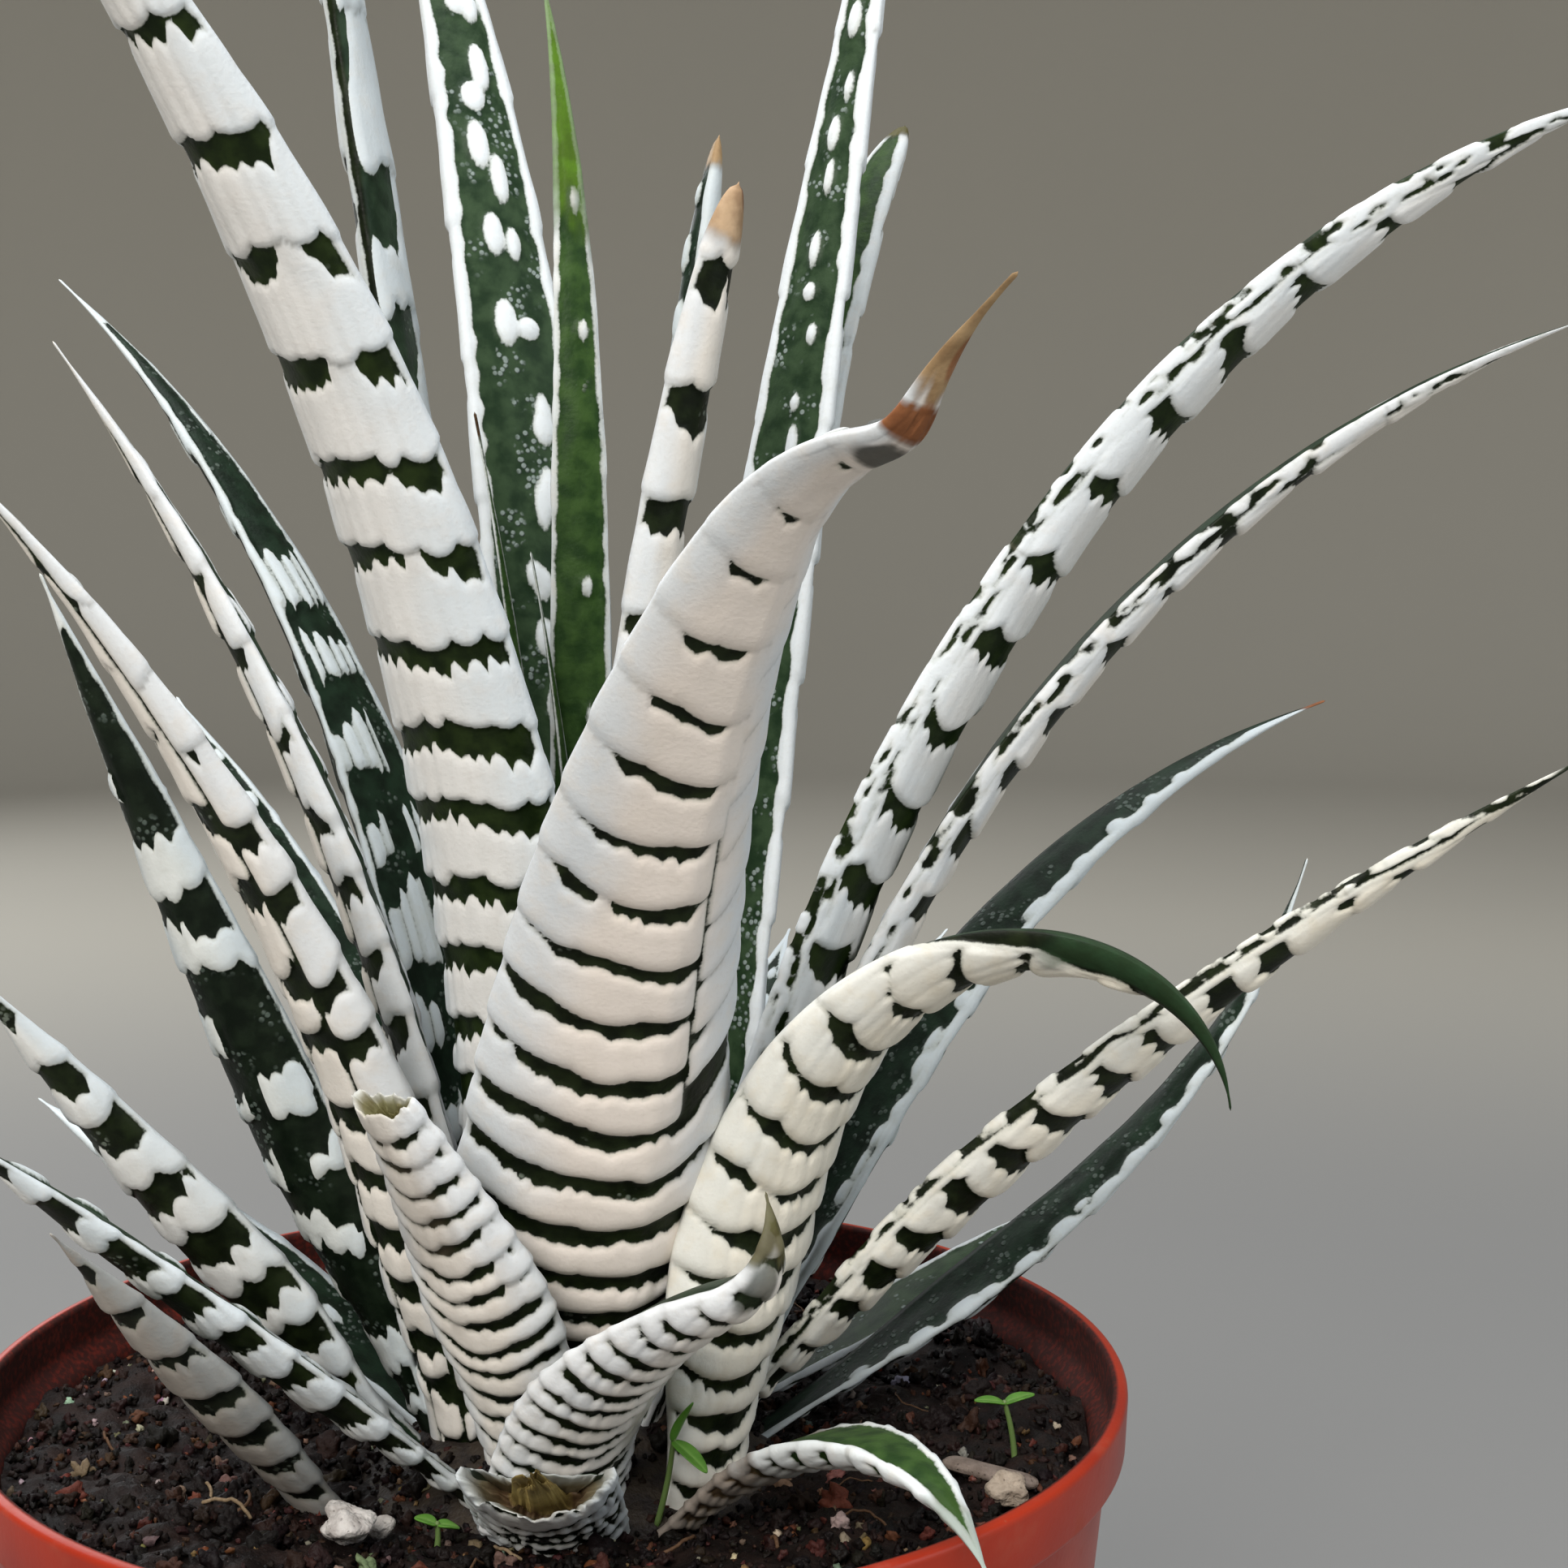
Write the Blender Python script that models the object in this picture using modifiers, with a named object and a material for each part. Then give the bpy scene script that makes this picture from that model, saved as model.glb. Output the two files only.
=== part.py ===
"""A zebra haworthia in its nursery pot: pot, compost, stem and every leaf as solids of their own.

Metres, +Z up. The pot stands on the plane z = 0 and its axis is the Z axis. Azimuths are in degrees,
counter-clockwise from +X as seen from above, and the front of the plant looks along -Y.
"""
from dataclasses import dataclass
from math import cos, hypot, pi, radians, sin

import bmesh
import bpy
import numpy as np
from mathutils import Matrix, Vector, noise

MM = 0.001
GAP = 0.3

# Pot, in millimetres: a thin turned shell with a flared lip, a foot ring and drain holes.
POT_HEIGHT = 80.0
RIM_RADIUS = 45.0
WALL = 1.2
LIP_HEIGHT = 5.0
LIP_STEP = 1.5
LIP_ROUND = 0.5
LIP_FALL = 0.05
LIP_DRAFT = 0.2
FOOT_RADIUS = 36.0
FOOT_BEVEL = 1.0
FOOT_RING = 6.0
FOOT_LIFT = 1.5
BOSS_RADIUS = 15.0
DRAIN_HOLES = 8
DRAIN_RADIUS = 3.0
DRAIN_SIDES = 12
DRAIN_BORE = 8.0
POT_SIDES = 40

# Compost, in millimetres: its level at some distances from the pot's axis, and the nest for the plant.
SOIL_LEVELS = ((16.0, 72.4), (20.5, 72.8), (25.0, 74.2), (30.0, 74.9), (34.5, 75.2), (38.5, 75.4))
SOIL_EDGE_LEVEL = 74.6
SOIL_EDGE_BAND = 1.0
SOIL_FLAT_RADIUS = 8.0
SOIL_LUMP = 0.9
SOIL_LUMP_SIZE = 7.0
SOIL_LUMP_FADE = 8.0
NEST_RADIUS = 18.6
NEST_FLARE = 1.0
NEST_HEADROOM = 4.0
NEST_WAIST = 70.0
NEST_TAPER = 2.0
NEST_FLOOR = 66.0
POCKET_DEPTH = 12.0
POCKET_SIDES = 14

# Stem, in millimetres: the plant's own axis stands a little off the pot's, and its crown is a low dome.
PLANT_X, PLANT_Y = 2.0, -1.0
CROWN = ((0.0, 79.0), (4.0, 78.3), (8.0, 76.9), (12.0, 75.3), (15.0, 73.6), (17.3, 71.8))
CROWN_FOOT = ((15.0, 69.5), (9.0, 68.0), (6.0, NEST_FLOOR + GAP), (0.0, NEST_FLOOR + GAP))
CROWN_SIDES = 32

# Leaves, in millimetres: what all of them share.
BAND_RISE = 0.55
BAND_EDGE = 0.3
BAND_SPREAD = 1.2
BAND_START, BAND_END = 0.6, 0.2
FULL_BAND_HALF_WIDTH = 3.0
OPENING_LENGTH = 20.0
CLASP_LENGTH = 16.0
CLASP_RADIUS = 4.0
SHEATH_LENGTH = 14.0
ROLL_LENGTH = 0.4
HOOK_START = 0.72
FLICK_START, FLICK_LENGTH = 0.87, 0.05
TIP_HALF_WIDTH = 0.35
PATH_SAMPLES = 241
SEAT_GAP = 0.35
SMOOTH_ANGLE = 45.0


@dataclass
class Leaf:
    """How one leaf grew. Lengths are in millimetres and angles in degrees."""

    name: str
    azimuth: float           # side of the stem that it grows from
    radius: float            # distance of its base from the stem's axis
    length: float            # along its curve, as if its tip were whole
    width: float             # at its widest
    lean: float              # from upright at its base
    bend: float              # added to the lean on the way to the tip
    curl: float = 1.0        # 1 bends evenly, and more keeps the bend for the tip
    aim: float | None = None  # azimuth that it leans towards, where that isn't its own
    sweep: float = 0.0       # sideways turn on the way to the tip
    swing: float = 1.0       # 1 turns evenly, and more keeps the turn for the tip
    roll: float = 0.0        # turn about its own length, which its lower part takes
    hook: float = 0.0        # lean added in the last quarter
    flick: float = 0.0       # lean taken back at the very tip
    bands: int = 14          # raised bands on the outer face
    keel: float = 0.0        # where the outer face is highest, from -1 to 1 across it
    base: float = 0.6        # width at the base, as a share of the widest
    cut: float = 0.0         # share of the length that is missing at the tip
    full: float = 2.2        # more keeps the width further up
    fine: float = 1.1        # more draws the tip out finer
    height: float | None = None  # of its base, where it doesn't sit on the crown


LEAVES = (
    Leaf("leaf_01_broad_front", -91, 7.6, 104.5, 20.4, 20, 39.7, curl=1.6, aim=289, sweep=29, swing=3,
         hook=55, flick=63, bands=18, keel=0.3, base=0.45, full=1.9, fine=1.2),
    Leaf("leaf_02_snapped", 256, 11.8, 62, 13.0, 20, 27, aim=248, sweep=-22, bands=17, cut=0.42,
         fine=2.9),
    Leaf("leaf_03_drooping", -42, 14.4, 72, 13.5, 9, 164, curl=2.5, aim=322, sweep=25, roll=-18, bands=17),
    Leaf("leaf_04_claw", -89, 15.5, 36, 13.5, 14, 64, curl=0.8, aim=302, sweep=30, hook=-92,
         bands=17, base=0.85),
    Leaf("leaf_05_long_right", -24, 6.8, 128, 11.4, 18, 54, curl=2.0, aim=357, sweep=4, roll=-15,
         bands=20, base=0.42, full=4.2),
    Leaf("leaf_06_arched_right", -4, 9.8, 112, 8.0, 16, 55, curl=1.5, aim=356, sweep=4, roll=-5,
         bands=20, base=0.5, full=3.2),
    Leaf("leaf_07_dark_right", 18, 12.3, 78, 8.0, 25, 46, curl=1.6, aim=22, sweep=-12, roll=26, bands=12),
    Leaf("leaf_08_low_right", -9, 11.6, 84, 9.0, 40, 18, aim=343, roll=-25, bands=18),
    Leaf("leaf_09_low_dark", 11, 15.3, 64, 5.8, 57, -41, curl=2.0, aim=5, roll=25, bands=10),
    Leaf("leaf_10_short_right", 32, 15.0, 36, 8.0, 64, 9, aim=10, sweep=34, bands=6),
    Leaf("leaf_11_tall_right", 34, 8.6, 143, 9.5, 12, 3, aim=57, sweep=-10, bands=14, full=2.6),
    Leaf("leaf_12_blunt_back", 62, 11.4, 112, 6.5, 14.5, 26, curl=5.0, aim=53, bands=10, full=8.0,
         fine=0.5),
    Leaf("leaf_13_slim_front", -48, 2.6, 92.5, 5.3, -1, 18, aim=330, bands=12, full=7.0, fine=0.4),
    Leaf("leaf_14_slim_back", 25, 3.8, 97, 4.4, -0.5, 10.5, aim=16, bands=8, full=9.0, fine=0.5),
    Leaf("leaf_15_tall_left", 95, 5.5, 148, 10.2, 1.4, 33, curl=1.3, aim=120.6, bands=14, full=3.2),
    Leaf("leaf_16_narrow_green", 75, 2.0, 112, 4.8, -0.8, 25.7, curl=3.2, aim=68, sweep=50, bands=8,
         full=3.6),
    Leaf("leaf_17_thread_left", 185, 2.1, 76, 2.4, -1, 16, curl=1.4, aim=140, bands=5),
    Leaf("leaf_18_thread_right", 255, 2.2, 65, 2.4, -4, 16, curl=1.5, aim=155, bands=5),
    Leaf("leaf_19_slim_left", 150, 5.5, 128, 5.4, 6, 4, aim=158, bands=12, full=8.0, fine=0.8),
    Leaf("leaf_20_great_left", 236, 4.8, 128, 12.2, 0, 44, curl=0.9, aim=250, sweep=-28, bands=20,
         base=0.45, full=3.6, fine=0.9),
    Leaf("leaf_21_mottled_left", 150, 9.2, 106, 9.0, 3, 51, aim=137, sweep=12, bands=14),
    Leaf("leaf_22_pale_left", 183, 8.2, 88, 9.0, 2, 32, curl=0.8, aim=190, bands=15),
    Leaf("leaf_23_patched_left", 209, 10.5, 84, 10.0, 14, 28, curl=1.2, aim=235, sweep=-25, bands=15),
    Leaf("leaf_24_shaded_left", 184, 12.2, 72, 9.0, 23, -2, aim=199, sweep=8, roll=42, bands=12),
    Leaf("leaf_25_spread_left", 203, 13.5, 52, 9.0, 40, -4, aim=194, sweep=24, roll=35, bands=10),
    Leaf("leaf_26_pimpled_left", 236, 14.4, 50, 9.0, 47, 2, aim=208, sweep=12, bands=10),
    Leaf("leaf_27_grey_left", 212, 21.6, 38, 8.0, 40, 4, aim=238, sweep=4, bands=8, height=72.6),
    Leaf("leaf_28_over_the_rim", -57, 16.6, 38, 7.5, 46, 76, curl=1.5, aim=322, sweep=-31, bands=14),
    Leaf("leaf_29_cut_stub", -93, 16.6, 31, 12.0, 44, 20, aim=268, cut=0.68, bands=6, base=0.9),
    Leaf("leaf_30_back_right", 50, 13.5, 46, 10.0, 28, 25, aim=42, bands=9),
    Leaf("leaf_31_back", 90, 12.0, 76, 10.5, 30, 22, bands=12),
    Leaf("leaf_32_back_left", 132, 12.5, 74, 10.5, 32, 22, bands=12),
    Leaf("leaf_33_inner_back", 112, 8.8, 68, 9.0, 14, 18, aim=100, bands=11),
    Leaf("leaf_34_low_back", 70, 16.0, 56, 9.5, 46, 20, aim=76, bands=9),
    Leaf("leaf_35_low_back_left", 108, 16.0, 54, 9.5, 48, 20, bands=9),
    Leaf("leaf_36_low_left", 158, 14.5, 46, 9.0, 60, 6, aim=152, bands=9),
)

# A leaf's section, as shares of its half width across and of its depth outwards: five points go
# over the outer face from margin to margin, and two lie on the inner face. Bands raise three of them.
SECTION_ACROSS = (-1.0, -0.62, 0.0, 0.62, 1.0, 0.45, -0.45)
SECTION_DEPTH = (0.0, 0.78, 1.0, 0.78, 0.0, 0.0, 0.0)
SECTION_RAISED = (0.0, 1.0, 1.0, 1.0, 0.0, 0.0, 0.0)
KEEL_POINT = 2
INNER_POINTS = 5
END_CAP = ((0, 1, 6), (1, 2, 6), (2, 5, 6), (2, 3, 5), (3, 4, 5))

# A section's depth as a share of the half width: at the base, what it gains by the tip, and the
# share of it that the sheath has. The inner face is hollow at the base and full at the tip.
DEPTH_AT_BASE, DEPTH_GAIN = 0.50, 0.35
SHEATH_DEPTH = 0.62
HOLLOW_AT_BASE, HOLLOW_LOSS = 0.10, 0.35
MIDDLE_OF_DEPTH = 0.4

# Grains on the compost: azimuth, distance from the pot's axis, and size in millimetres.
GRAINS = (
    ("perlite_large", 238.7, 24.8, 3.5),
    ("perlite_small", 238.5, 21.2, 1.8),
    ("pumice_by_rim", -25.8, 38.2, 3.0),
)
GRAIN_LUMP = 0.5
GRAIN_LUMP_PACE = 0.7
GRAIN_FLATNESS = 0.85
GRAIN_REACH = 1 / 3

# The flake of bark by the rim, in millimetres and degrees.
BARK_LENGTH, BARK_WIDTH, BARK_THICKNESS = 8.0, 1.8, 0.9
BARK_AZIMUTH, BARK_DISTANCE, BARK_TURN = -20.0, 35.6, -36.0
BARK_EDGE = 0.25
BARK_REACH = 1 / 3


@dataclass
class Seedling:
    """A seedling with two leaves. Lengths are in millimetres and angles in degrees."""

    name: str
    azimuth: float           # of its foot, as seen from the pot's axis
    distance: float          # of its foot from the pot's axis
    tall: float              # from its foot to its leaves
    lean: float              # of its stem from upright
    heading: float           # azimuth that its stem leans to
    leaf_length: float
    first: tuple             # azimuth and rise of its first leaf
    second: tuple            # and of its second
    foot: float | None = None  # height of its foot, where it isn't in the compost


SEEDLINGS = (
    Seedling("seedling_by_claw", -59.5, 17.6, 6.2, 13, -35, 3.6, (-30, 68), (-40, -20), foot=74.0),
    Seedling("seedling_by_stub", 250.8, 20.9, 1.9, 5, 0, 1.7, (180, 25), (20, -10)),
    Seedling("seedling_in_shade", -12.0, 36.4, 4.0, 10, 180, 2.4, (10, 20), (190, 15)),
)
SEEDLING_STEM = 0.35
SEEDLING_LEAF_WIDTH, SEEDLING_LEAF_THICKNESS = 1.5, 0.7
SEEDLING_LEAF_REACH = 0.48


def principled(name, colour, roughness):
    """A plain Principled material."""
    material = bpy.data.materials.new(name)
    material.use_nodes = True
    shader = material.node_tree.nodes["Principled BSDF"]
    shader.inputs["Base Color"].default_value = (*colour, 1.0)
    shader.inputs["Roughness"].default_value = roughness
    shader.inputs["Metallic"].default_value = 0.0
    return material


def new_collection(name):
    """A collection linked to the scene."""
    collection = bpy.data.collections.new(name)
    bpy.context.scene.collection.children.link(collection)
    return collection


def new_object(name, vertices, faces, collection, edges=()):
    """A mesh object from points in millimetres."""
    mesh = bpy.data.meshes.new(name)
    mesh.from_pydata([Vector(v) * MM for v in vertices], list(edges), faces)
    mesh.update()
    obj = bpy.data.objects.new(name, mesh)
    collection.objects.link(obj)
    return obj


def turned(name, profile, sides, collection):
    """A profile of (radius, height) points turned round the Z axis with a Screw modifier."""
    points = [(r, 0.0, z) for r, z in profile]
    edges = [(i, i + 1) for i in range(len(points) - 1)]
    obj = new_object(name, points, [], collection, edges)
    screw = obj.modifiers.new("Turn", "SCREW")
    screw.steps = sides
    screw.render_steps = sides
    screw.use_merge_vertices = True
    screw.merge_threshold = 0.0001
    return obj


def as_cutter(obj):
    """Keeps an object out of the model: it only guides a Boolean."""
    obj.hide_render = True
    obj.display_type = "WIRE"
    return obj


def cut(obj, cutter):
    """Cuts one object with another."""
    boolean = obj.modifiers.new("Cut " + cutter.name, "BOOLEAN")
    boolean.operation = "DIFFERENCE"
    boolean.solver = "EXACT"
    boolean.object = cutter


def applied(obj):
    """Replaces an object's mesh with its evaluated one, and drops its modifiers."""
    depsgraph = bpy.context.evaluated_depsgraph_get()
    mesh = bpy.data.meshes.new_from_object(obj.evaluated_get(depsgraph))
    obj.modifiers.clear()
    obj.data = mesh
    return obj


def dress(obj, material, smooth=True):
    """Gives an object its material, and smooth shading where it is to look round."""
    obj.data.materials.clear()
    obj.data.materials.append(material)
    if smooth:
        obj.data.shade_smooth()
        obj.data.set_sharp_from_angle(angle=radians(SMOOTH_ANGLE))


def wall_radius(height):
    """The pot's outer radius below the lip."""
    share = height / (POT_HEIGHT - LIP_HEIGHT)
    return FOOT_RADIUS + (RIM_RADIUS - LIP_STEP - FOOT_RADIUS) * share


def pot_profile():
    """The pot's section from the middle of its floor, up the inside, over the lip and down the outside."""
    floor = WALL + FOOT_LIFT
    ring = FOOT_RADIUS - FOOT_RING
    lip_foot = POT_HEIGHT - LIP_HEIGHT
    inner_lip = RIM_RADIUS - WALL
    return (
        (0.0, WALL),
        (BOSS_RADIUS - WALL, WALL),
        (BOSS_RADIUS, floor),
        (ring, floor),
        (ring + WALL, WALL),
        (wall_radius(WALL) - WALL, WALL),
        (wall_radius(lip_foot) - WALL, lip_foot),
        (inner_lip, lip_foot + LIP_STEP),
        (inner_lip, POT_HEIGHT - LIP_ROUND),
        (inner_lip + LIP_ROUND, POT_HEIGHT),
        (RIM_RADIUS - LIP_ROUND, POT_HEIGHT - LIP_FALL),
        (RIM_RADIUS, POT_HEIGHT - 2 * LIP_ROUND),
        (RIM_RADIUS - LIP_DRAFT, lip_foot + LIP_ROUND),
        (wall_radius(lip_foot), lip_foot),
        (wall_radius(FOOT_BEVEL), FOOT_BEVEL),
        (FOOT_RADIUS - FOOT_BEVEL, 0.0),
        (ring + WALL, 0.0),
        (ring, FOOT_LIFT),
        (BOSS_RADIUS, FOOT_LIFT),
        (BOSS_RADIUS - WALL, 0.0),
        (0.0, 0.0),
    )


def drain_cutter(collection):
    """The rods that bore the ring of drain holes."""
    ring = (BOSS_RADIUS + FOOT_RADIUS - FOOT_RING) / 2
    rods = bmesh.new()
    for index in range(DRAIN_HOLES):
        angle = 2 * pi * (index + 0.5) / DRAIN_HOLES
        place = Vector((ring * cos(angle), ring * sin(angle), FOOT_LIFT)) * MM
        bmesh.ops.create_cone(rods, cap_ends=True, segments=DRAIN_SIDES, radius1=DRAIN_RADIUS * MM,
                              radius2=DRAIN_RADIUS * MM, depth=DRAIN_BORE * MM,
                              matrix=Matrix.Translation(place))
    obj = new_object("drain_holes", [], [], collection)
    rods.to_mesh(obj.data)
    rods.free()
    return as_cutter(obj)


def build_pot(parts, cutters):
    """The pot, with its drain holes."""
    pot = turned("pot", pot_profile(), POT_SIDES, parts)
    cut(pot, drain_cutter(cutters))
    dress(pot, principled("terracotta_plastic", (0.42, 0.035, 0.012), 0.45))


def soil_level(distance):
    """The compost's even level at a distance from the pot's axis."""
    distances, levels = zip(*SOIL_LEVELS)
    return float(np.interp(distance, distances, levels))


def soil_surface(x, y):
    """The compost's height with its lumps, which fade towards the plant."""
    distance = hypot(x, y)
    lump = noise.noise(Vector((x, y, 0.0)) / SOIL_LUMP_SIZE) * SOIL_LUMP
    fade = min(max((distance - NEST_RADIUS) / SOIL_LUMP_FADE, 0.0), 1.0)
    return soil_level(distance) + lump * fade


def build_soil(parts, cutters):
    """The compost: turned to fill the pot, roughened on top, with a nest for the plant."""
    edge = wall_radius(SOIL_EDGE_LEVEL) - WALL - GAP
    foot = wall_radius(WALL) - WALL - 2 * GAP
    boss = BOSS_RADIUS
    ring = FOOT_RADIUS - FOOT_RING
    floor = WALL + FOOT_LIFT + GAP
    middle = SOIL_LEVELS[0][1]
    top = [(0.0, middle), (SOIL_FLAT_RADIUS, middle), *SOIL_LEVELS, (edge, SOIL_EDGE_LEVEL)]
    profile = [*top, (foot, WALL + GAP), (ring + WALL + GAP, WALL + GAP), (ring + GAP, floor),
               (boss - GAP, floor), (boss - WALL - GAP, WALL + GAP), (0.0, WALL + GAP)]
    soil = applied(turned("soil", profile, POT_SIDES, parts))
    for vertex in soil.data.vertices:
        x, y, z = vertex.co / MM
        if z > middle - GAP and hypot(x, y) < edge - SOIL_EDGE_BAND:
            vertex.co.z = soil_surface(x, y) * MM
    nest_top = soil_level(NEST_RADIUS) + NEST_HEADROOM
    nest_profile = ((0.0, nest_top), (NEST_RADIUS + NEST_FLARE, nest_top), (NEST_RADIUS, NEST_WAIST),
                    (NEST_RADIUS - NEST_TAPER, NEST_FLOOR), (0.0, NEST_FLOOR))
    nest = turned("plant_nest", nest_profile, CROWN_SIDES, cutters)
    nest.location = (PLANT_X * MM, PLANT_Y * MM, 0.0)
    cut(soil, as_cutter(nest))
    cut(soil, leaf_pocket(cutters))
    dress(soil, principled("compost", (0.02, 0.012, 0.008), 0.95), smooth=False)


def leaf_pocket(collection):
    """The hole in the compost for the one leaf that grows outside the nest."""
    leaf = next(each for each in LEAVES if each.height is not None)
    start = leaf_path(leaf, np.zeros(1), leaf.height)[0]
    along = leaf_frames(leaf, np.zeros(1))[0][0]
    half = leaf.width / 2
    pocket = turned("leaf_pocket", ((0.0, POCKET_DEPTH), (half, POCKET_DEPTH), (half, 0.0), (0.0, 0.0)),
                    POCKET_SIDES, collection)
    pocket.rotation_mode = "QUATERNION"
    pocket.rotation_quaternion = Vector(along).to_track_quat("Z", "Y")
    pocket.location = Vector(start - along * GAP) * MM
    return as_cutter(pocket)


def crown_height(distance):
    """The crown's height at a distance from the stem's axis."""
    distances, heights = zip(*CROWN)
    return np.interp(distance, distances, heights)


def build_stem(parts):
    """The short stem, whose crown carries the leaves."""
    stem = turned("stem", (*CROWN, *CROWN_FOOT), CROWN_SIDES, parts)
    stem.location = (PLANT_X * MM, PLANT_Y * MM, 0.0)
    dress(stem, principled("stem_flesh", (0.30, 0.32, 0.16), 0.7))


def smoothstep(x):
    """Eases from 0 to 1."""
    x = np.clip(x, 0.0, 1.0)
    return x * x * (3.0 - 2.0 * x)


def leaf_frames(leaf, t):
    """The directions along, across and outwards at fractions t of a leaf's length."""
    hook = leaf.hook * smoothstep((t - HOOK_START) / (1.0 - HOOK_START))
    flick = leaf.flick * smoothstep((t - FLICK_START) / FLICK_LENGTH)
    lean = np.radians(leaf.lean + leaf.bend * t ** leaf.curl + hook - flick)
    aim = leaf.azimuth if leaf.aim is None else leaf.aim
    azimuth = np.radians(aim + leaf.sweep * t ** leaf.swing)
    along = np.stack([np.sin(lean) * np.cos(azimuth), np.sin(lean) * np.sin(azimuth), np.cos(lean)], 1)
    across = np.stack([-np.sin(azimuth), np.cos(azimuth), np.zeros_like(t)], 1)
    out = np.cross(across, along)
    roll = np.radians(leaf.roll * smoothstep(t / ROLL_LENGTH))[:, None]
    return along, across * np.cos(roll) - out * np.sin(roll), out * np.cos(roll) + across * np.sin(roll)


def leaf_path(leaf, t, height):
    """The middle of a leaf at fractions t of its length, with its base at a height."""
    fine = np.linspace(0.0, 1.0, PATH_SAMPLES)
    along = leaf_frames(leaf, fine)[0]
    step = leaf.length / (PATH_SAMPLES - 1)
    run = np.vstack([np.zeros(3), np.cumsum((along[1:] + along[:-1]) / 2 * step, axis=0)])
    side = radians(leaf.azimuth)
    start = np.array([PLANT_X + leaf.radius * cos(side), PLANT_Y + leaf.radius * sin(side), height])
    return start + np.stack([np.interp(t, fine, run[:, axis]) for axis in range(3)], 1)


def half_width(leaf, t):
    """Half of a leaf's width: narrow where it clasps the stem, widest low down, drawn out to the tip."""
    opening = leaf.base + (1.0 - leaf.base) * smoothstep(t * leaf.length / OPENING_LENGTH)
    taper = (1.0 - min(t, 1.0) ** leaf.full) ** leaf.fine
    return max(leaf.width / 2 * opening * taper, TIP_HALF_WIDTH)


def leaf_section(leaf, t, raised):
    """A leaf's outline at a fraction t of its length, as offsets across and outwards."""
    half = half_width(leaf, t)
    run = t * leaf.length
    sheath = SHEATH_DEPTH + (1.0 - SHEATH_DEPTH) * smoothstep(run / SHEATH_LENGTH)
    depth = half * (DEPTH_AT_BASE + DEPTH_GAIN * t) * sheath
    across = np.array(SECTION_ACROSS)
    across[KEEL_POINT] = leaf.keel
    outwards = np.array(SECTION_DEPTH) * depth
    if raised:
        outwards += np.array(SECTION_RAISED) * BAND_RISE * min(1.0, half / FULL_BAND_HALF_WIDTH)
    outwards[INNER_POINTS:] += half * (HOLLOW_AT_BASE - HOLLOW_LOSS * t)
    clasp = (half * across) ** 2 / (2.0 * max(leaf.radius, CLASP_RADIUS))
    clasp *= 1.0 - smoothstep(run / CLASP_LENGTH)
    return across * half, outwards - clasp - MIDDLE_OF_DEPTH * depth


def leaf_stations(leaf):
    """Fractions of the length, each with whether it lies on the crest of a raised band.

    A band starts with a step at its lower edge and falls away evenly to the next one's step.
    """
    end = 1.0 - leaf.cut
    count = np.arange(leaf.bands)
    edges = end * ((count + BAND_START) / (leaf.bands + BAND_END)) ** BAND_SPREAD
    lengths = np.diff(np.append(edges, end))
    stations = [(0.0, False)]
    for edge, length in zip(edges, lengths):
        stations += [(edge, False), (edge + BAND_EDGE * length, True)]
    return [*stations, (end, False)]


def seat_height(leaf):
    """The height of a leaf's base that leaves a small gap between its end and the crown."""
    across, outwards = leaf_section(leaf, 0.0, False)
    start = np.zeros(1)
    _, side, out = leaf_frames(leaf, start)
    ring = leaf_path(leaf, start, 0.0) + np.outer(across, side[0]) + np.outer(outwards, out[0])
    distance = np.hypot(ring[:, 0] - PLANT_X, ring[:, 1] - PLANT_Y)
    return float(np.max(crown_height(distance) - ring[:, 2])) + SEAT_GAP


def build_leaf(leaf, parts, material):
    """One leaf, lofted through its sections."""
    stations = leaf_stations(leaf)
    t = np.array([fraction for fraction, _ in stations])
    height = seat_height(leaf) if leaf.height is None else leaf.height
    middle = leaf_path(leaf, t, height)
    _, side, out = leaf_frames(leaf, t)
    points = []
    for index, (fraction, raised) in enumerate(stations):
        across, outwards = leaf_section(leaf, fraction, raised)
        points += list(middle[index] + np.outer(across, side[index]) + np.outer(outwards, out[index]))
    count = len(SECTION_ACROSS)
    faces = []
    for ring in range(len(stations) - 1):
        for index in range(count):
            here, beside = ring * count + index, ring * count + (index + 1) % count
            faces += [(here, beside, beside + count), (here, beside + count, here + count)]
    last = (len(stations) - 1) * count
    faces += [tuple(reversed(face)) for face in END_CAP]
    faces += [tuple(last + corner for corner in face) for face in END_CAP]
    obj = new_object(leaf.name, points, faces, parts)
    dress(obj, material)


def ground_under(x, y, reach):
    """The highest point of the compost under something of that reach."""
    spots = [(x + dx * reach, y + dy * reach) for dx in (-1, 0, 1) for dy in (-1, 0, 1)]
    return max(soil_surface(*spot) for spot in spots)


def build_grain(name, azimuth, distance, size, parts, material):
    """A rough grain that lies on the compost."""
    angle = radians(azimuth)
    x, y = distance * cos(angle), distance * sin(angle)
    shape = bmesh.new()
    bmesh.ops.create_icosphere(shape, subdivisions=1, radius=size / 2)
    for vertex in shape.verts:
        lump = noise.noise(vertex.co * GRAIN_LUMP_PACE + Vector((x, y, size)))
        vertex.co *= 1.0 + GRAIN_LUMP * lump
        vertex.co.z *= GRAIN_FLATNESS
    lowest = min(vertex.co.z for vertex in shape.verts)
    height = ground_under(x, y, size * GRAIN_REACH) - lowest + GAP
    bmesh.ops.transform(shape, matrix=Matrix.Scale(MM, 4), verts=shape.verts)
    obj = new_object(name, [], [], parts)
    shape.to_mesh(obj.data)
    shape.free()
    obj.location = Vector((x, y, height)) * MM
    dress(obj, material, smooth=False)


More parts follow.
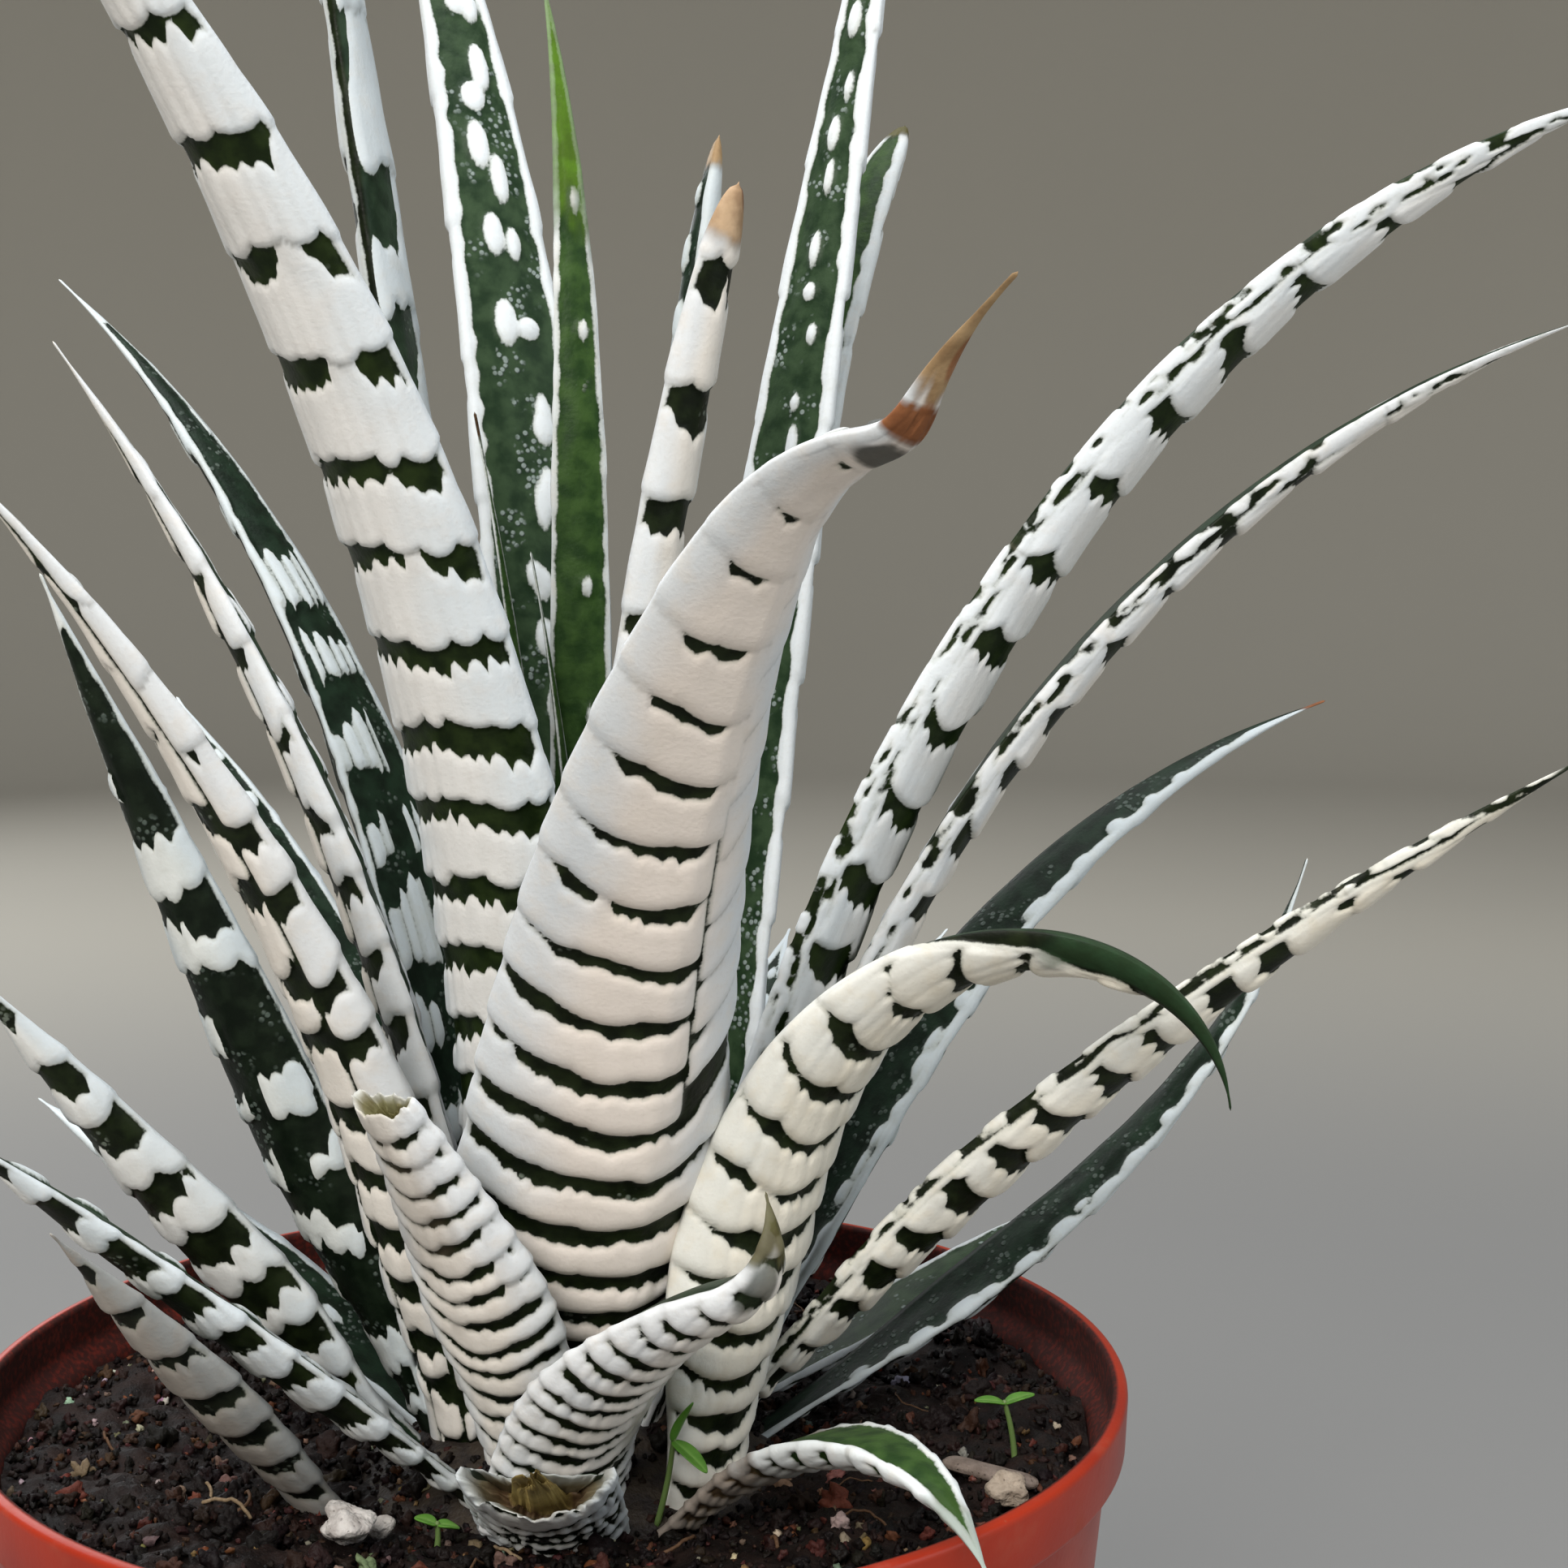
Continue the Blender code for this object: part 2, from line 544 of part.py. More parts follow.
def build_bark(parts):
    """A flake of bark that lies by the rim."""
    angle = radians(BARK_AZIMUTH)
    x, y = BARK_DISTANCE * cos(angle), BARK_DISTANCE * sin(angle)
    box = bmesh.new()
    size = Matrix.Diagonal((BARK_LENGTH, BARK_WIDTH, BARK_THICKNESS, 1.0))
    bmesh.ops.create_cube(box, size=MM, matrix=size)
    obj = new_object("bark_flake", [], [], parts)
    box.to_mesh(obj.data)
    box.free()
    height = ground_under(x, y, BARK_LENGTH * BARK_REACH) + GAP + BARK_THICKNESS / 2
    obj.location = Vector((x, y, height)) * MM
    obj.rotation_euler = (0.0, 0.0, radians(BARK_TURN))
    bevel = obj.modifiers.new("Worn edges", "BEVEL")
    bevel.width = BARK_EDGE * MM
    bevel.segments = 1
    dress(obj, principled("bark", (0.16, 0.11, 0.08), 0.9), smooth=False)


def seedling_blade(seedling, azimuth, rise):
    """A seedling's leaf as a flattened ball, from its stem's top outwards."""
    blade = bmesh.new()
    bmesh.ops.create_uvsphere(blade, u_segments=8, v_segments=5, radius=0.5 * MM)
    size = Matrix.Diagonal((seedling.leaf_length, SEEDLING_LEAF_WIDTH, SEEDLING_LEAF_THICKNESS, 1.0))
    out = Matrix.Translation((seedling.leaf_length * SEEDLING_LEAF_REACH * MM, 0.0, 0.0))
    turn = Matrix.Rotation(radians(azimuth), 4, "Z") @ Matrix.Rotation(radians(-rise), 4, "Y")
    bmesh.ops.transform(blade, matrix=turn @ out @ size, verts=blade.verts)
    return blade


def build_seedling(seedling, parts, material):
    """A thin stem and its leaves, joined into one body."""
    angle = radians(seedling.azimuth)
    x, y = seedling.distance * cos(angle), seedling.distance * sin(angle)
    foot = ground_under(x, y, SEEDLING_STEM) + GAP if seedling.foot is None else seedling.foot
    slant = (Matrix.Rotation(radians(seedling.heading), 4, "Z")
             @ Matrix.Rotation(radians(seedling.lean), 4, "Y"))
    stem = bmesh.new()
    bmesh.ops.create_cone(stem, cap_ends=True, segments=6, radius1=SEEDLING_STEM * MM,
                          radius2=SEEDLING_STEM * MM, depth=seedling.tall * MM,
                          matrix=slant @ Matrix.Translation((0.0, 0.0, seedling.tall / 2 * MM)))
    obj = new_object(seedling.name, [], [], parts)
    stem.to_mesh(obj.data)
    stem.free()
    obj.location = Vector((x, y, foot)) * MM
    top = obj.location + slant @ Vector((0.0, 0.0, (seedling.tall - SEEDLING_STEM) * MM))
    blades = new_collection(seedling.name + "_blades")
    for azimuth, rise in (seedling.first, seedling.second):
        shape = seedling_blade(seedling, azimuth, rise)
        blade = new_object(seedling.name + "_blade", [], [], blades)
        shape.to_mesh(blade.data)
        shape.free()
        blade.location = top
    union = obj.modifiers.new("Join", "BOOLEAN")
    union.operation = "UNION"
    union.solver = "EXACT"
    union.operand_type = "COLLECTION"
    union.collection = blades
    applied(obj)
    for blade in list(blades.objects):
        bpy.data.objects.remove(blade)
    bpy.data.collections.remove(blades)
    dress(obj, material)


def build():
    """Makes the whole potted plant."""
    for obj in list(bpy.data.objects):
        bpy.data.objects.remove(obj)
    parts = new_collection("potted_haworthia")
    cutters = new_collection("cutters")
    build_pot(parts, cutters)
    build_soil(parts, cutters)
    build_stem(parts)
    leaf_skin = principled("leaf_skin", (0.62, 0.60, 0.54), 0.5)
    for leaf in LEAVES:
        build_leaf(leaf, parts, leaf_skin)
    perlite = principled("perlite", (0.75, 0.72, 0.66), 0.9)
    for name, azimuth, distance, size in GRAINS:
        build_grain(name, azimuth, distance, size, parts, perlite)
    build_bark(parts)
    seedling_green = principled("seedling_green", (0.12, 0.35, 0.03), 0.5)
    for seedling in SEEDLINGS:
        build_seedling(seedling, parts, seedling_green)


build()
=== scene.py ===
"""The looks of a zebra haworthia in its nursery pot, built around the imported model.

Every piece is modelled in the model's own frame: lengths in millimetres while it is worked out,
metres in the mesh, +Z up, the pot standing on z = 0 with its axis on the Z axis. The growth of each
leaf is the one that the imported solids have, so each fine leaf lies where its solid lies.
"""
import logging
from dataclasses import dataclass, field
from enum import Enum
from functools import cached_property
from math import cos, hypot, pi, radians, sin, sqrt

import bmesh
import bpy
import numpy as np
from mathutils import Matrix, Vector, noise


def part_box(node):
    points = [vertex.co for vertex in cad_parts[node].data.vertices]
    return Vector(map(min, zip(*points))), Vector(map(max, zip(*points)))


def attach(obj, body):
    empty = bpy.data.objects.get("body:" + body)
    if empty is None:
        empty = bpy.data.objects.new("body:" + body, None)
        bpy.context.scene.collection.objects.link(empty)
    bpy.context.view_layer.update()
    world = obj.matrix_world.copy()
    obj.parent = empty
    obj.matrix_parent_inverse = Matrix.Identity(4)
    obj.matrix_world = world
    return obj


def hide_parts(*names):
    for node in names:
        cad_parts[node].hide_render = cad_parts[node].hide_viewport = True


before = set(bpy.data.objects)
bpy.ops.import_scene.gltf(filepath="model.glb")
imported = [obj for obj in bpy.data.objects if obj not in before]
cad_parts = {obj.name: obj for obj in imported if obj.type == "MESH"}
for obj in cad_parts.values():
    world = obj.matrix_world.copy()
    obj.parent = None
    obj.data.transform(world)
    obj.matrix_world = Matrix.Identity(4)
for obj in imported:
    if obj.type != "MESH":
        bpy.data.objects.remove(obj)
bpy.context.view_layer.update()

BODY = "root"
MM = 0.001

NO_WHITE = -3.0  # the "white" of a point far from any white tissue

Array = np.ndarray
Faces = list[tuple[int, ...]]
Colour = tuple[float, float, float]
Material = bpy.types.Material
Socket = bpy.types.NodeSocket
Number = "Value | float"
Link = "Value | Socket | float | tuple"
log = logging.getLogger("haworthia")


def smoothstep(x: Array) -> Array:
    """Eases from 0 to 1."""
    x = np.clip(x, 0.0, 1.0)
    return x * x * (3.0 - 2.0 * x)


def quarter_round(x: Array) -> Array:
    """Rises from 0 to 1 like a quarter of a circle."""
    x = np.clip(x, 0.0, 1.0)
    return np.sqrt(1.0 - (1.0 - x) ** 2)


def bell(x: Array, width: float) -> Array:
    """A bump of height 1 at 0, with that width."""
    return np.exp(-(x / width) ** 2)


def direction(azimuth: float) -> tuple[float, float]:
    """The unit step towards an azimuth in degrees."""
    return cos(radians(azimuth)), sin(radians(azimuth))


@dataclass(frozen=True)
class Lattice:
    """Smooth random values over a plane, the same on every run."""

    seed: int

    COLUMN_FACTOR = 374761393
    ROW_FACTOR = 668265263
    SEED_FACTOR = 97531
    MIX_FACTOR = 1274126177
    WORD = 0xFFFFFFFF
    HALF_WORD = 0xFFFF
    OCTAVE_SHIFT = 17.0
    OCTAVE_SPREAD = 1.6

    def _corner(self, column: Array, row: Array) -> Array:
        """The random values at corners of the lattice.

        Args:
            column: Their whole numbers along the first axis.
            row: Their whole numbers along the second one.

        Returns:
            Values from 0 to 1.
        """
        mixed = column * self.COLUMN_FACTOR + row * self.ROW_FACTOR + self.seed * self.SEED_FACTOR
        mixed = mixed & self.WORD
        mixed = ((mixed ^ (mixed >> 13)) * self.MIX_FACTOR) & self.WORD
        return ((mixed ^ (mixed >> 16)) & self.HALF_WORD) / self.HALF_WORD

    def at(self, x: Array, y: Array | float = 0.0) -> Array:
        """The value at each point.

        Args:
            x: First coordinate, with one lattice cell to the unit.
            y: Second coordinate.

        Returns:
            Values from 0 to 1 that change smoothly from cell to cell.
        """
        x, y = np.broadcast_arrays(np.asarray(x, float), np.asarray(y, float))
        column, row = np.floor(x).astype(np.int64), np.floor(y).astype(np.int64)
        u, v = smoothstep(x - column), smoothstep(y - row)
        low = self._corner(column, row) * (1 - u) + self._corner(column + 1, row) * u
        high = self._corner(column, row + 1) * (1 - u) + self._corner(column + 1, row + 1) * u
        return low * (1 - v) + high * v

    def layered(self, x: Array, y: Array | float, octaves: int) -> Array:
        """The sum of ever finer values.

        Args:
            x: First coordinate, in cells of the coarsest layer.
            y: Second coordinate.
            octaves: The number of layers, each half as coarse and half as strong as the last.

        Returns:
            Values from about -1 to 1.
        """
        total = np.zeros(np.broadcast(x, y).shape)
        for octave in range(octaves):
            scale = 2.0 ** octave
            shift = self.OCTAVE_SHIFT * octave
            total += (self.at(x * scale + shift, np.asarray(y) * scale) * 2 - 1) / scale
        return total / self.OCTAVE_SPREAD


@dataclass
class Body:
    """Points in millimetres and faces that become one mesh, with the values that its finish reads."""

    points: list[Array] = field(default_factory=list)
    faces: Faces = field(default_factory=list)
    values: dict[str, list[Array]] = field(default_factory=dict)
    count: int = 0

    def add(self, points: Array, faces: Faces, **values: Array) -> None:
        """Adds points, the faces between them, and a value or colour for each point.

        Args:
            points: One row for each point.
            faces: Tuples of row numbers.
            values: One number, or one row of four, for each point, by attribute name.
        """
        start = self.count
        self.points.append(np.asarray(points, float))
        self.faces += [tuple(start + corner for corner in face) for face in faces]
        for name, value in values.items():
            self.values.setdefault(name, []).append(np.asarray(value, np.float32))
        self.count += len(points)

    def piece(self, name: str, material: Material, slot: str, *nodes: str) -> bpy.types.Object:
        """Makes the object, which rides on the part's one body, and reports it.

        Args:
            name: The object's name.
            material: Its finish.
            slot: Not used.
            nodes: The solids that it stands for.

        Returns:
            The object, shaded smooth.
        """
        mesh = bpy.data.meshes.new(name)
        mesh.from_pydata((np.vstack(self.points) * MM).tolist(), [], self.faces)
        for key, parts in self.values.items():
            data = np.concatenate(parts)
            kind, member = ("FLOAT", "value") if data.ndim == 1 else ("FLOAT_COLOR", "color")
            mesh.attributes.new(key, kind, "POINT").data.foreach_set(member, data.ravel())
        mesh.update()
        mesh.shade_smooth()
        mesh.materials.append(material)
        obj = bpy.data.objects.new(name, mesh)
        bpy.context.scene.collection.objects.link(obj)
        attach(obj, BODY)
        if nodes:
            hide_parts(*nodes)
        log.info("%s: %d points", name, len(mesh.vertices))
        return obj


def ring_angles(count: int) -> Array:
    """The angles of that many points spaced evenly round a ring."""
    return np.linspace(0, 2 * pi, count, endpoint=False)


def turned_rings(profile: list[tuple[float, float]], count: int) -> list[Array]:
    """The rings of points that a profile of radii and heights makes round the Z axis."""
    angles = ring_angles(count)
    return [np.stack([r * np.cos(angles), r * np.sin(angles), np.full(count, z)], 1) for r, z in profile]


def ring_faces(rings: int, count: int, forwards: bool = True) -> Faces:
    """The quads between closed rings of points that follow one another.

    Args:
        rings: The number of rings.
        count: The number of points in each.
        forwards: Whether they face outwards on rings that climb anticlockwise.

    Returns:
        The quads.
    """
    first = np.arange(rings - 1)[:, None] * count
    here, beside = np.arange(count)[None, :], (np.arange(count)[None, :] + 1) % count
    quads = np.stack([first + here, first + beside, first + beside + count, first + here + count], -1)
    return [tuple(quad) if forwards else tuple(reversed(quad)) for quad in quads.reshape(-1, 4).tolist()]


def fan_faces(first: int, count: int, tip: int, forwards: bool) -> Faces:
    """The triangles from a closed ring to one point."""
    pairs = [(first + i, first + (i + 1) % count) for i in range(count)]
    return [(a, b, tip) if forwards else (b, a, tip) for a, b in pairs]


def closed_faces(rings: int, count: int, forwards: bool = True) -> Faces:
    """The faces of a body of closed rings, with one more point to close each end.

    Args:
        rings: The number of rings.
        count: The number of points in each.
        forwards: As for ring_faces.

    Returns:
        The faces. The far end's point comes after the rings, and then the near end's.
    """
    total = rings * count
    ends = fan_faces(total - count, count, total, forwards) + fan_faces(0, count, total + 1, not forwards)
    return ring_faces(rings, count, forwards) + ends


class Value:
    """One number of a shader, so that shader maths reads as Python."""

    def __init__(self, graph: "Graph", socket: Socket) -> None:
        """Wraps a socket of a graph."""
        self.graph = graph
        self.socket = socket

    def _math(self, operation: str, first: Number, second: Number) -> "Value":
        """Adds a Math node on two numbers."""
        made = self.graph.node("ShaderNodeMath", {"operation": operation}, {0: first, 1: second})
        return Value(self.graph, made.outputs[0])

    def __add__(self, other: Number) -> "Value":
        """The sum."""
        return self._math("ADD", self, other)

    __radd__ = __add__

    def __sub__(self, other: Number) -> "Value":
        """The difference."""
        return self._math("SUBTRACT", self, other)

    def __rsub__(self, other: Number) -> "Value":
        """The difference from a number."""
        return self._math("SUBTRACT", other, self)

    def __mul__(self, other: Number) -> "Value":
        """The product."""
        return self._math("MULTIPLY", self, other)

    __rmul__ = __mul__

    def up(self, low: float, high: float) -> "Value":
        """Eases from 0 to 1.

        Args:
            low: The value that gives 0.
            high: The value that gives 1.

        Returns:
            The eased value.
        """
        limits = {"Value": self, "From Min": low, "From Max": high}
        made = self.graph.node("ShaderNodeMapRange", {"interpolation_type": "SMOOTHSTEP"}, limits)
        return Value(self.graph, made.outputs["Result"])

    def down(self, low: float, high: float) -> "Value":
        """Eases from 1 at the low value to 0 at the high one."""
        return 1.0 - self.up(low, high)


class Graph:
    """A material's nodes, with one Principled shader."""

    def __init__(self, name: str) -> None:
        """Makes a material with nothing but the shader.

        Args:
            name: The material's name.
        """
        self.material = bpy.data.materials.new(name)
        self.material.use_nodes = True
        self.nodes = self.material.node_tree.nodes
        self.nodes.clear()
        self.shader = self.node("ShaderNodeBsdfPrincipled")
        self.node("ShaderNodeOutputMaterial", None, {"Surface": self.shader.outputs[0]})
        self.place = self.node("ShaderNodeTexCoord").outputs["Object"]

    def node(self, kind: str, settings: dict | None = None, inputs: dict | None = None) -> bpy.types.Node:
        """Adds a node.

        Args:
            kind: The node's type.
            settings: Its own properties, which are set first.
            inputs: A value or a link for sockets, by name, identifier or number.

        Returns:
            The node.
        """
        made = self.nodes.new(kind)
        for key, value in (settings or {}).items():
            setattr(made, key, value)
        for key, value in (inputs or {}).items():
            self.link(self.socket(made, key), value)
        return made

    @staticmethod
    def socket(made: bpy.types.Node, key: str | int) -> Socket:
        """An input of a node, by identifier, or else by name or number."""
        exact = [each for each in made.inputs if each.identifier == key]
        return exact[0] if exact else made.inputs[key]

    def link(self, socket: Socket, value: Link) -> None:
        """Feeds a socket.

        Args:
            socket: An input.
            value: A link or a constant, where a colour may lack its alpha.
        """
        if isinstance(value, Value):
            value = value.socket
        if isinstance(value, Socket):
            self.material.node_tree.links.new(value, socket)
        elif isinstance(value, tuple) and len(value) == 3 and len(socket.default_value) == 4:
            socket.default_value = (*value, 1.0)
        else:
            socket.default_value = value

    def set(self, **constants: float | tuple) -> None:
        """Sets constants on the shader's own sockets, with _ for a space in a name."""
        for key, value in constants.items():
            self.link(self.shader.inputs[key.replace("_", " ")], value)

    def noise(self, size: float, detail: float = 2.0, roughness: float = 0.5) -> Value:
        """Cloudy values.

        Args:
            size: The size of the clouds in millimetres.
            detail: The number of finer layers.
            roughness: How strong the finer layers are.

        Returns:
            Values from 0 to 1.
        """
        made = self.node("ShaderNodeTexNoise", None, {"Vector": self.place, "Scale": 1 / (size * MM),
                                                      "Detail": detail, "Roughness": roughness})
        return Value(self, made.outputs["Fac"])

    def cells(self, size: float) -> Value:
        """The distance to the nearest middle of cells of that size in millimetres."""
        made = self.node("ShaderNodeTexVoronoi", None, {"Vector": self.place, "Scale": 1 / (size * MM)})
        return Value(self, made.outputs["Distance"])

    def attribute(self, name: str) -> Value:
        """A number that the mesh holds."""
        made = self.node("ShaderNodeAttribute", {"attribute_name": name})
        return Value(self, made.outputs["Fac"])

    def tint(self) -> tuple[Socket, Value]:
        """The colour that the mesh holds in "tint", and its share."""
        made = self.node("ShaderNodeAttribute", {"attribute_name": "tint"})
        return made.outputs["Color"], Value(self, made.outputs["Alpha"])

    def mix(self, share: Value, first: Link, second: Link, blend: str = "MIX") -> Socket:
        """A colour between two.

        Args:
            share: 0 for the first and 1 for the second.
            first: A colour.
            second: Another.
            blend: How the second goes on the first.

        Returns:
            The socket of the mixed colour.
        """
        made = self.node("ShaderNodeMix", {"data_type": "RGBA", "blend_type": blend},
                         {"Factor_Float": share, "A_Color": first, "B_Color": second})
        return next(each for each in made.outputs if each.identifier == "Result_Color")

    def finish(self, colour: Link, roughness: Link, relief: Value | None = None,
               depth: float = 0.05) -> Material:
        """Feeds the shader.

        Args:
            colour: Its base colour.
            roughness: Its roughness.
            relief: Fine bumps from 0 to 1, if it has them.
            depth: Their depth in millimetres.

        Returns:
            The material.
        """
        self.link(self.shader.inputs["Base Color"], colour)
        self.link(self.shader.inputs["Roughness"], roughness)
        if relief is not None:
            bump = self.node("ShaderNodeBump", None, {"Height": relief, "Distance": depth * MM,
                                                      "Strength": 1.0})
            self.link(self.shader.inputs["Normal"], bump.outputs[0])
        return self.material


@dataclass(frozen=True)
class LeafSkin:
    """A leaf's skin: dark green flesh, and the raised white tissue that the mesh marks out.

    The mesh's "white" is the distance in millimetres into the white tissue, "side" runs from 0 at
    the keel to 1 at the margins, where the white is painted bluish as the flanks' shade, "inner" is 1
    on the inner face, "crease" is 1 along the lower edges of the bands, where the skin is darkened
    as a painted shadow, and "tint" is a colour laid over all with its share.
    """

    name: str
    cream: Colour = (0.91, 0.86, 0.79)
    # Painted shade: the bluish white that the flanks of the white tissue take, for the shade on the leaf's
    # sides.
    cool: Colour = (0.85, 0.88, 0.90)
    mottled: Colour = (0.82, 0.75, 0.66)
    deep: Colour = (0.004, 0.007, 0.002)
    green: Colour = (0.013, 0.021, 0.006)
    inner_deep: Colour = (0.010, 0.024, 0.011)
    inner_green: Colour = (0.028, 0.054, 0.028)
    grain: Colour = (0.17, 0.20, 0.16)
    speckle: Colour = (0.55, 0.47, 0.40)
    border: Colour = (0.36, 0.38, 0.30)
    # Painted shadow: the dark olive laid along the lower edges of the bands.
    furrow_shade: Colour = (0.13, 0.12, 0.08)
    blotch: Colour = (0.30, 0.20, 0.12)
    granules: float = 0.0  # how widely pale granules crowd the green
    ragged: float = 0.20  # how far the edge of the white wanders, in millimetres

    @cached_property
    def material(self) -> Material:
        """The skin's material, made once.

        Returns:
            The material.
        """
        graph = Graph("leaf_skin_" + self.name)
        clouds, mottle, fine = graph.noise(9.0), graph.noise(1.6, 3.0), graph.noise(0.32, 3.0)
        white = graph.attribute("white") + (fine - 0.5) * self.ragged
        covered = white.up(-0.06, 0.10)
        deep = graph.mix(mottle.up(0.35, 0.70), self.deep, self.green)
        inner_flesh = graph.mix(mottle.up(0.30, 0.70), self.inner_deep, self.inner_green)
        flesh = graph.mix(graph.attribute("inner"), deep, inner_flesh)
        crowd = graph.noise(3.4, 1.0).up(0.68 - 0.30 * self.granules, 0.76 - 0.26 * self.granules)
        grains = graph.cells(0.62).down(0.24, 0.46) * crowd
        flesh = graph.mix(grains * 0.85, flesh, self.grain)
        # Painted shade: towards the margins the white turns from cream to the bluish flank tone, as if the
        # flanks lay in shade.
        edge = graph.attribute("side") + (clouds - 0.5) * 0.9
        tissue = graph.mix(edge.up(0.30, 0.95), self.cream, self.cool)
        tissue = graph.mix(mottle.up(0.45, 0.75) * 0.35, tissue, self.mottled)
        tissue = graph.mix(fine.up(0.50, 0.80) * 0.12, tissue, self.speckle)
        tissue = graph.mix(white.down(0.02, 0.30) * 0.40, tissue, self.border)
        colour = graph.mix(covered, flesh, tissue)
        # Painted shadow: darkens the skin along the lower edges of the bands.
        colour = graph.mix(graph.attribute("crease") * 0.45, colour, self.furrow_shade)
        stain, share = graph.tint()
        stain = graph.mix(mottle.up(0.3, 0.7) * 0.5, stain, self.blotch, "MULTIPLY")
        colour = graph.mix(share, colour, stain)
        roughness = covered * 0.08 + 0.46 + (mottle - 0.5) * 0.16
        relief = fine * 0.55 + mottle * 0.5 + grains * (1.0 - covered) * 1.6
        graph.set(Specular_IOR_Level=0.17)
        return graph.finish(colour, roughness, relief, 0.055)


class Skin(Enum):
    """The tones that the leaves come in."""

    WARM = LeafSkin("warm")
    FRESH = LeafSkin(
        "fresh", cream=(0.91, 0.90, 0.875), cool=(0.84, 0.89, 0.92), mottled=(0.84, 0.81, 0.77),
        deep=(0.006, 0.013, 0.002), green=(0.018, 0.032, 0.006))
    FRONT = LeafSkin(
        "front", cream=(0.90, 0.82, 0.745), cool=(0.76, 0.80, 0.83), granules=0.15, ragged=0.18)
    YELLOW = LeafSkin(
        "yellow", cream=(0.91, 0.86, 0.74), cool=(0.86, 0.86, 0.80), mottled=(0.82, 0.73, 0.56),
        green=(0.014, 0.022, 0.006))
    # Painted shade: a dimmer, bluer copy of the white tissue for leaves that lie low in the rosette's
    # shade.
    COOL = LeafSkin(
        "cool", cream=(0.80, 0.81, 0.79), cool=(0.68, 0.74, 0.77), mottled=(0.68, 0.67, 0.62),
        granules=0.25)
    GREEN = LeafSkin(
        "green", cream=(0.84, 0.87, 0.86), cool=(0.82, 0.87, 0.90), mottled=(0.74, 0.78, 0.75),
        deep=(0.008, 0.019, 0.004), green=(0.022, 0.042, 0.011), inner_deep=(0.014, 0.034, 0.014),
        inner_green=(0.040, 0.074, 0.034), grain=(0.30, 0.36, 0.34), granules=0.6)
    BRIGHT = LeafSkin(
        "bright", cream=(0.82, 0.85, 0.81), cool=(0.82, 0.87, 0.88), deep=(0.014, 0.036, 0.006),
        green=(0.034, 0.074, 0.014), inner_deep=(0.016, 0.046, 0.010), inner_green=(0.046, 0.100, 0.022))
    # Partly a darker green leaf, partly painted shade: dimmed, bluer white tissue for leaves in the
    # rosette's shade.
    DARK = LeafSkin(
        "dark", cream=(0.78, 0.81, 0.79), cool=(0.66, 0.73, 0.76), mottled=(0.62, 0.65, 0.61),
        deep=(0.003, 0.007, 0.003), green=(0.010, 0.018, 0.009), inner_deep=(0.005, 0.012, 0.006),
        inner_green=(0.012, 0.029, 0.015), grain=(0.10, 0.13, 0.11), granules=0.5)
    GREY = LeafSkin(
        "grey", cream=(0.42, 0.39, 0.35), cool=(0.36, 0.37, 0.36), mottled=(0.34, 0.28, 0.22),
        deep=(0.008, 0.011, 0.008), green=(0.020, 0.025, 0.015), granules=0.6)


@dataclass(frozen=True)
class Stain:
    """A patch of another colour on a leaf: its middle and reach along and across, as shares."""

    colour: Colour
    along: float
    reach: float
    across: float = 0.0
    spread: float = 9.0
    strength: float = 1.0

    def share(self, t: Array, x: Array, patchy: Array) -> Array:
        """How much of it shows at fractions of the length and places across, with a patchy edge."""
        away = np.sqrt(((t - self.along) / self.reach) ** 2 + ((x - self.across) / self.spread) ** 2)
        return self.strength * smoothstep((1.0 - away) * 3.0 + (patchy - 0.5) * 1.2)


def rounded_least(a: Array, b: Array, radius: float) -> Array:
    """The lesser of two distances from edges, with a rounded corner where both are small."""
    corner = radius - np.hypot(np.maximum(radius - a, 0.0), np.maximum(radius - b, 0.0))
    return np.where((a < radius) & (b < radius), corner, np.minimum(a, b))


@dataclass(frozen=True)
class Column:
    """A flank where the bands are out of step: where it starts across, and how they lie there."""

    border: float
    shift: float  # as a share of the bands' spacing
    tilt: float = 0.0  # climb towards the margin, as a slope


@dataclass(frozen=True)
class Banding:
    """How raised white bands lie across one face of a leaf, in millimetres and shares.

    A band has a thick lower edge with rounded lobes, and an upper edge of fingers that reach into
    the dark gap. Where fingers bridge the gap, two bands run together.
    """

    gap: float = 1.9  # dark gap above a band near the base
    gap_tip: float = 2.3  # and near the tip
    lobe: float = 3.2  # width of the lower lobes
    sag: float = 0.5  # depth of the lower lobes
    finger: float = 1.5  # width of the fingers
    reach: float = 0.9  # length of the fingers
    dip: float = 0.0  # how far a band sags at the keel, as a share of the half width
    crown: float = 0.0  # how much farther the fingers reach at the keel
    taper: float = 0.3  # share by which a gap narrows at the margins
    wander: float = 0.35  # unevenness of the bands' course
    cover: float = 1.0  # share of the width where a band is there at all
    bridged: float = 0.0  # share of the gaps that fingers bridge near the base
    bridged_tip: float = 0.3  # and near the tip
    rise: float = 0.5  # thickness of the white tissue near the base
    rise_tip: float = 0.4  # and near the tip
    roll: float = 0.8  # rounding of its lower edge
    seam: float = 0.10  # depth of the seams between fingers
    split: float = 0.0  # width of open slits between fingers
    columns: tuple[Column, ...] = ()
    columns_from: float = 0.0  # share of the length where the columns start
    columns_to: float = 1.0  # and where they run together
    patch: float = 2.6  # width of the stretches where bands run together
    heart: float = 0.0  # the place across where the gaps are widest
    span: float = 9.0  # how far they reach from there near the base, as a share
    span_tip: float = 9.0  # and near the tip


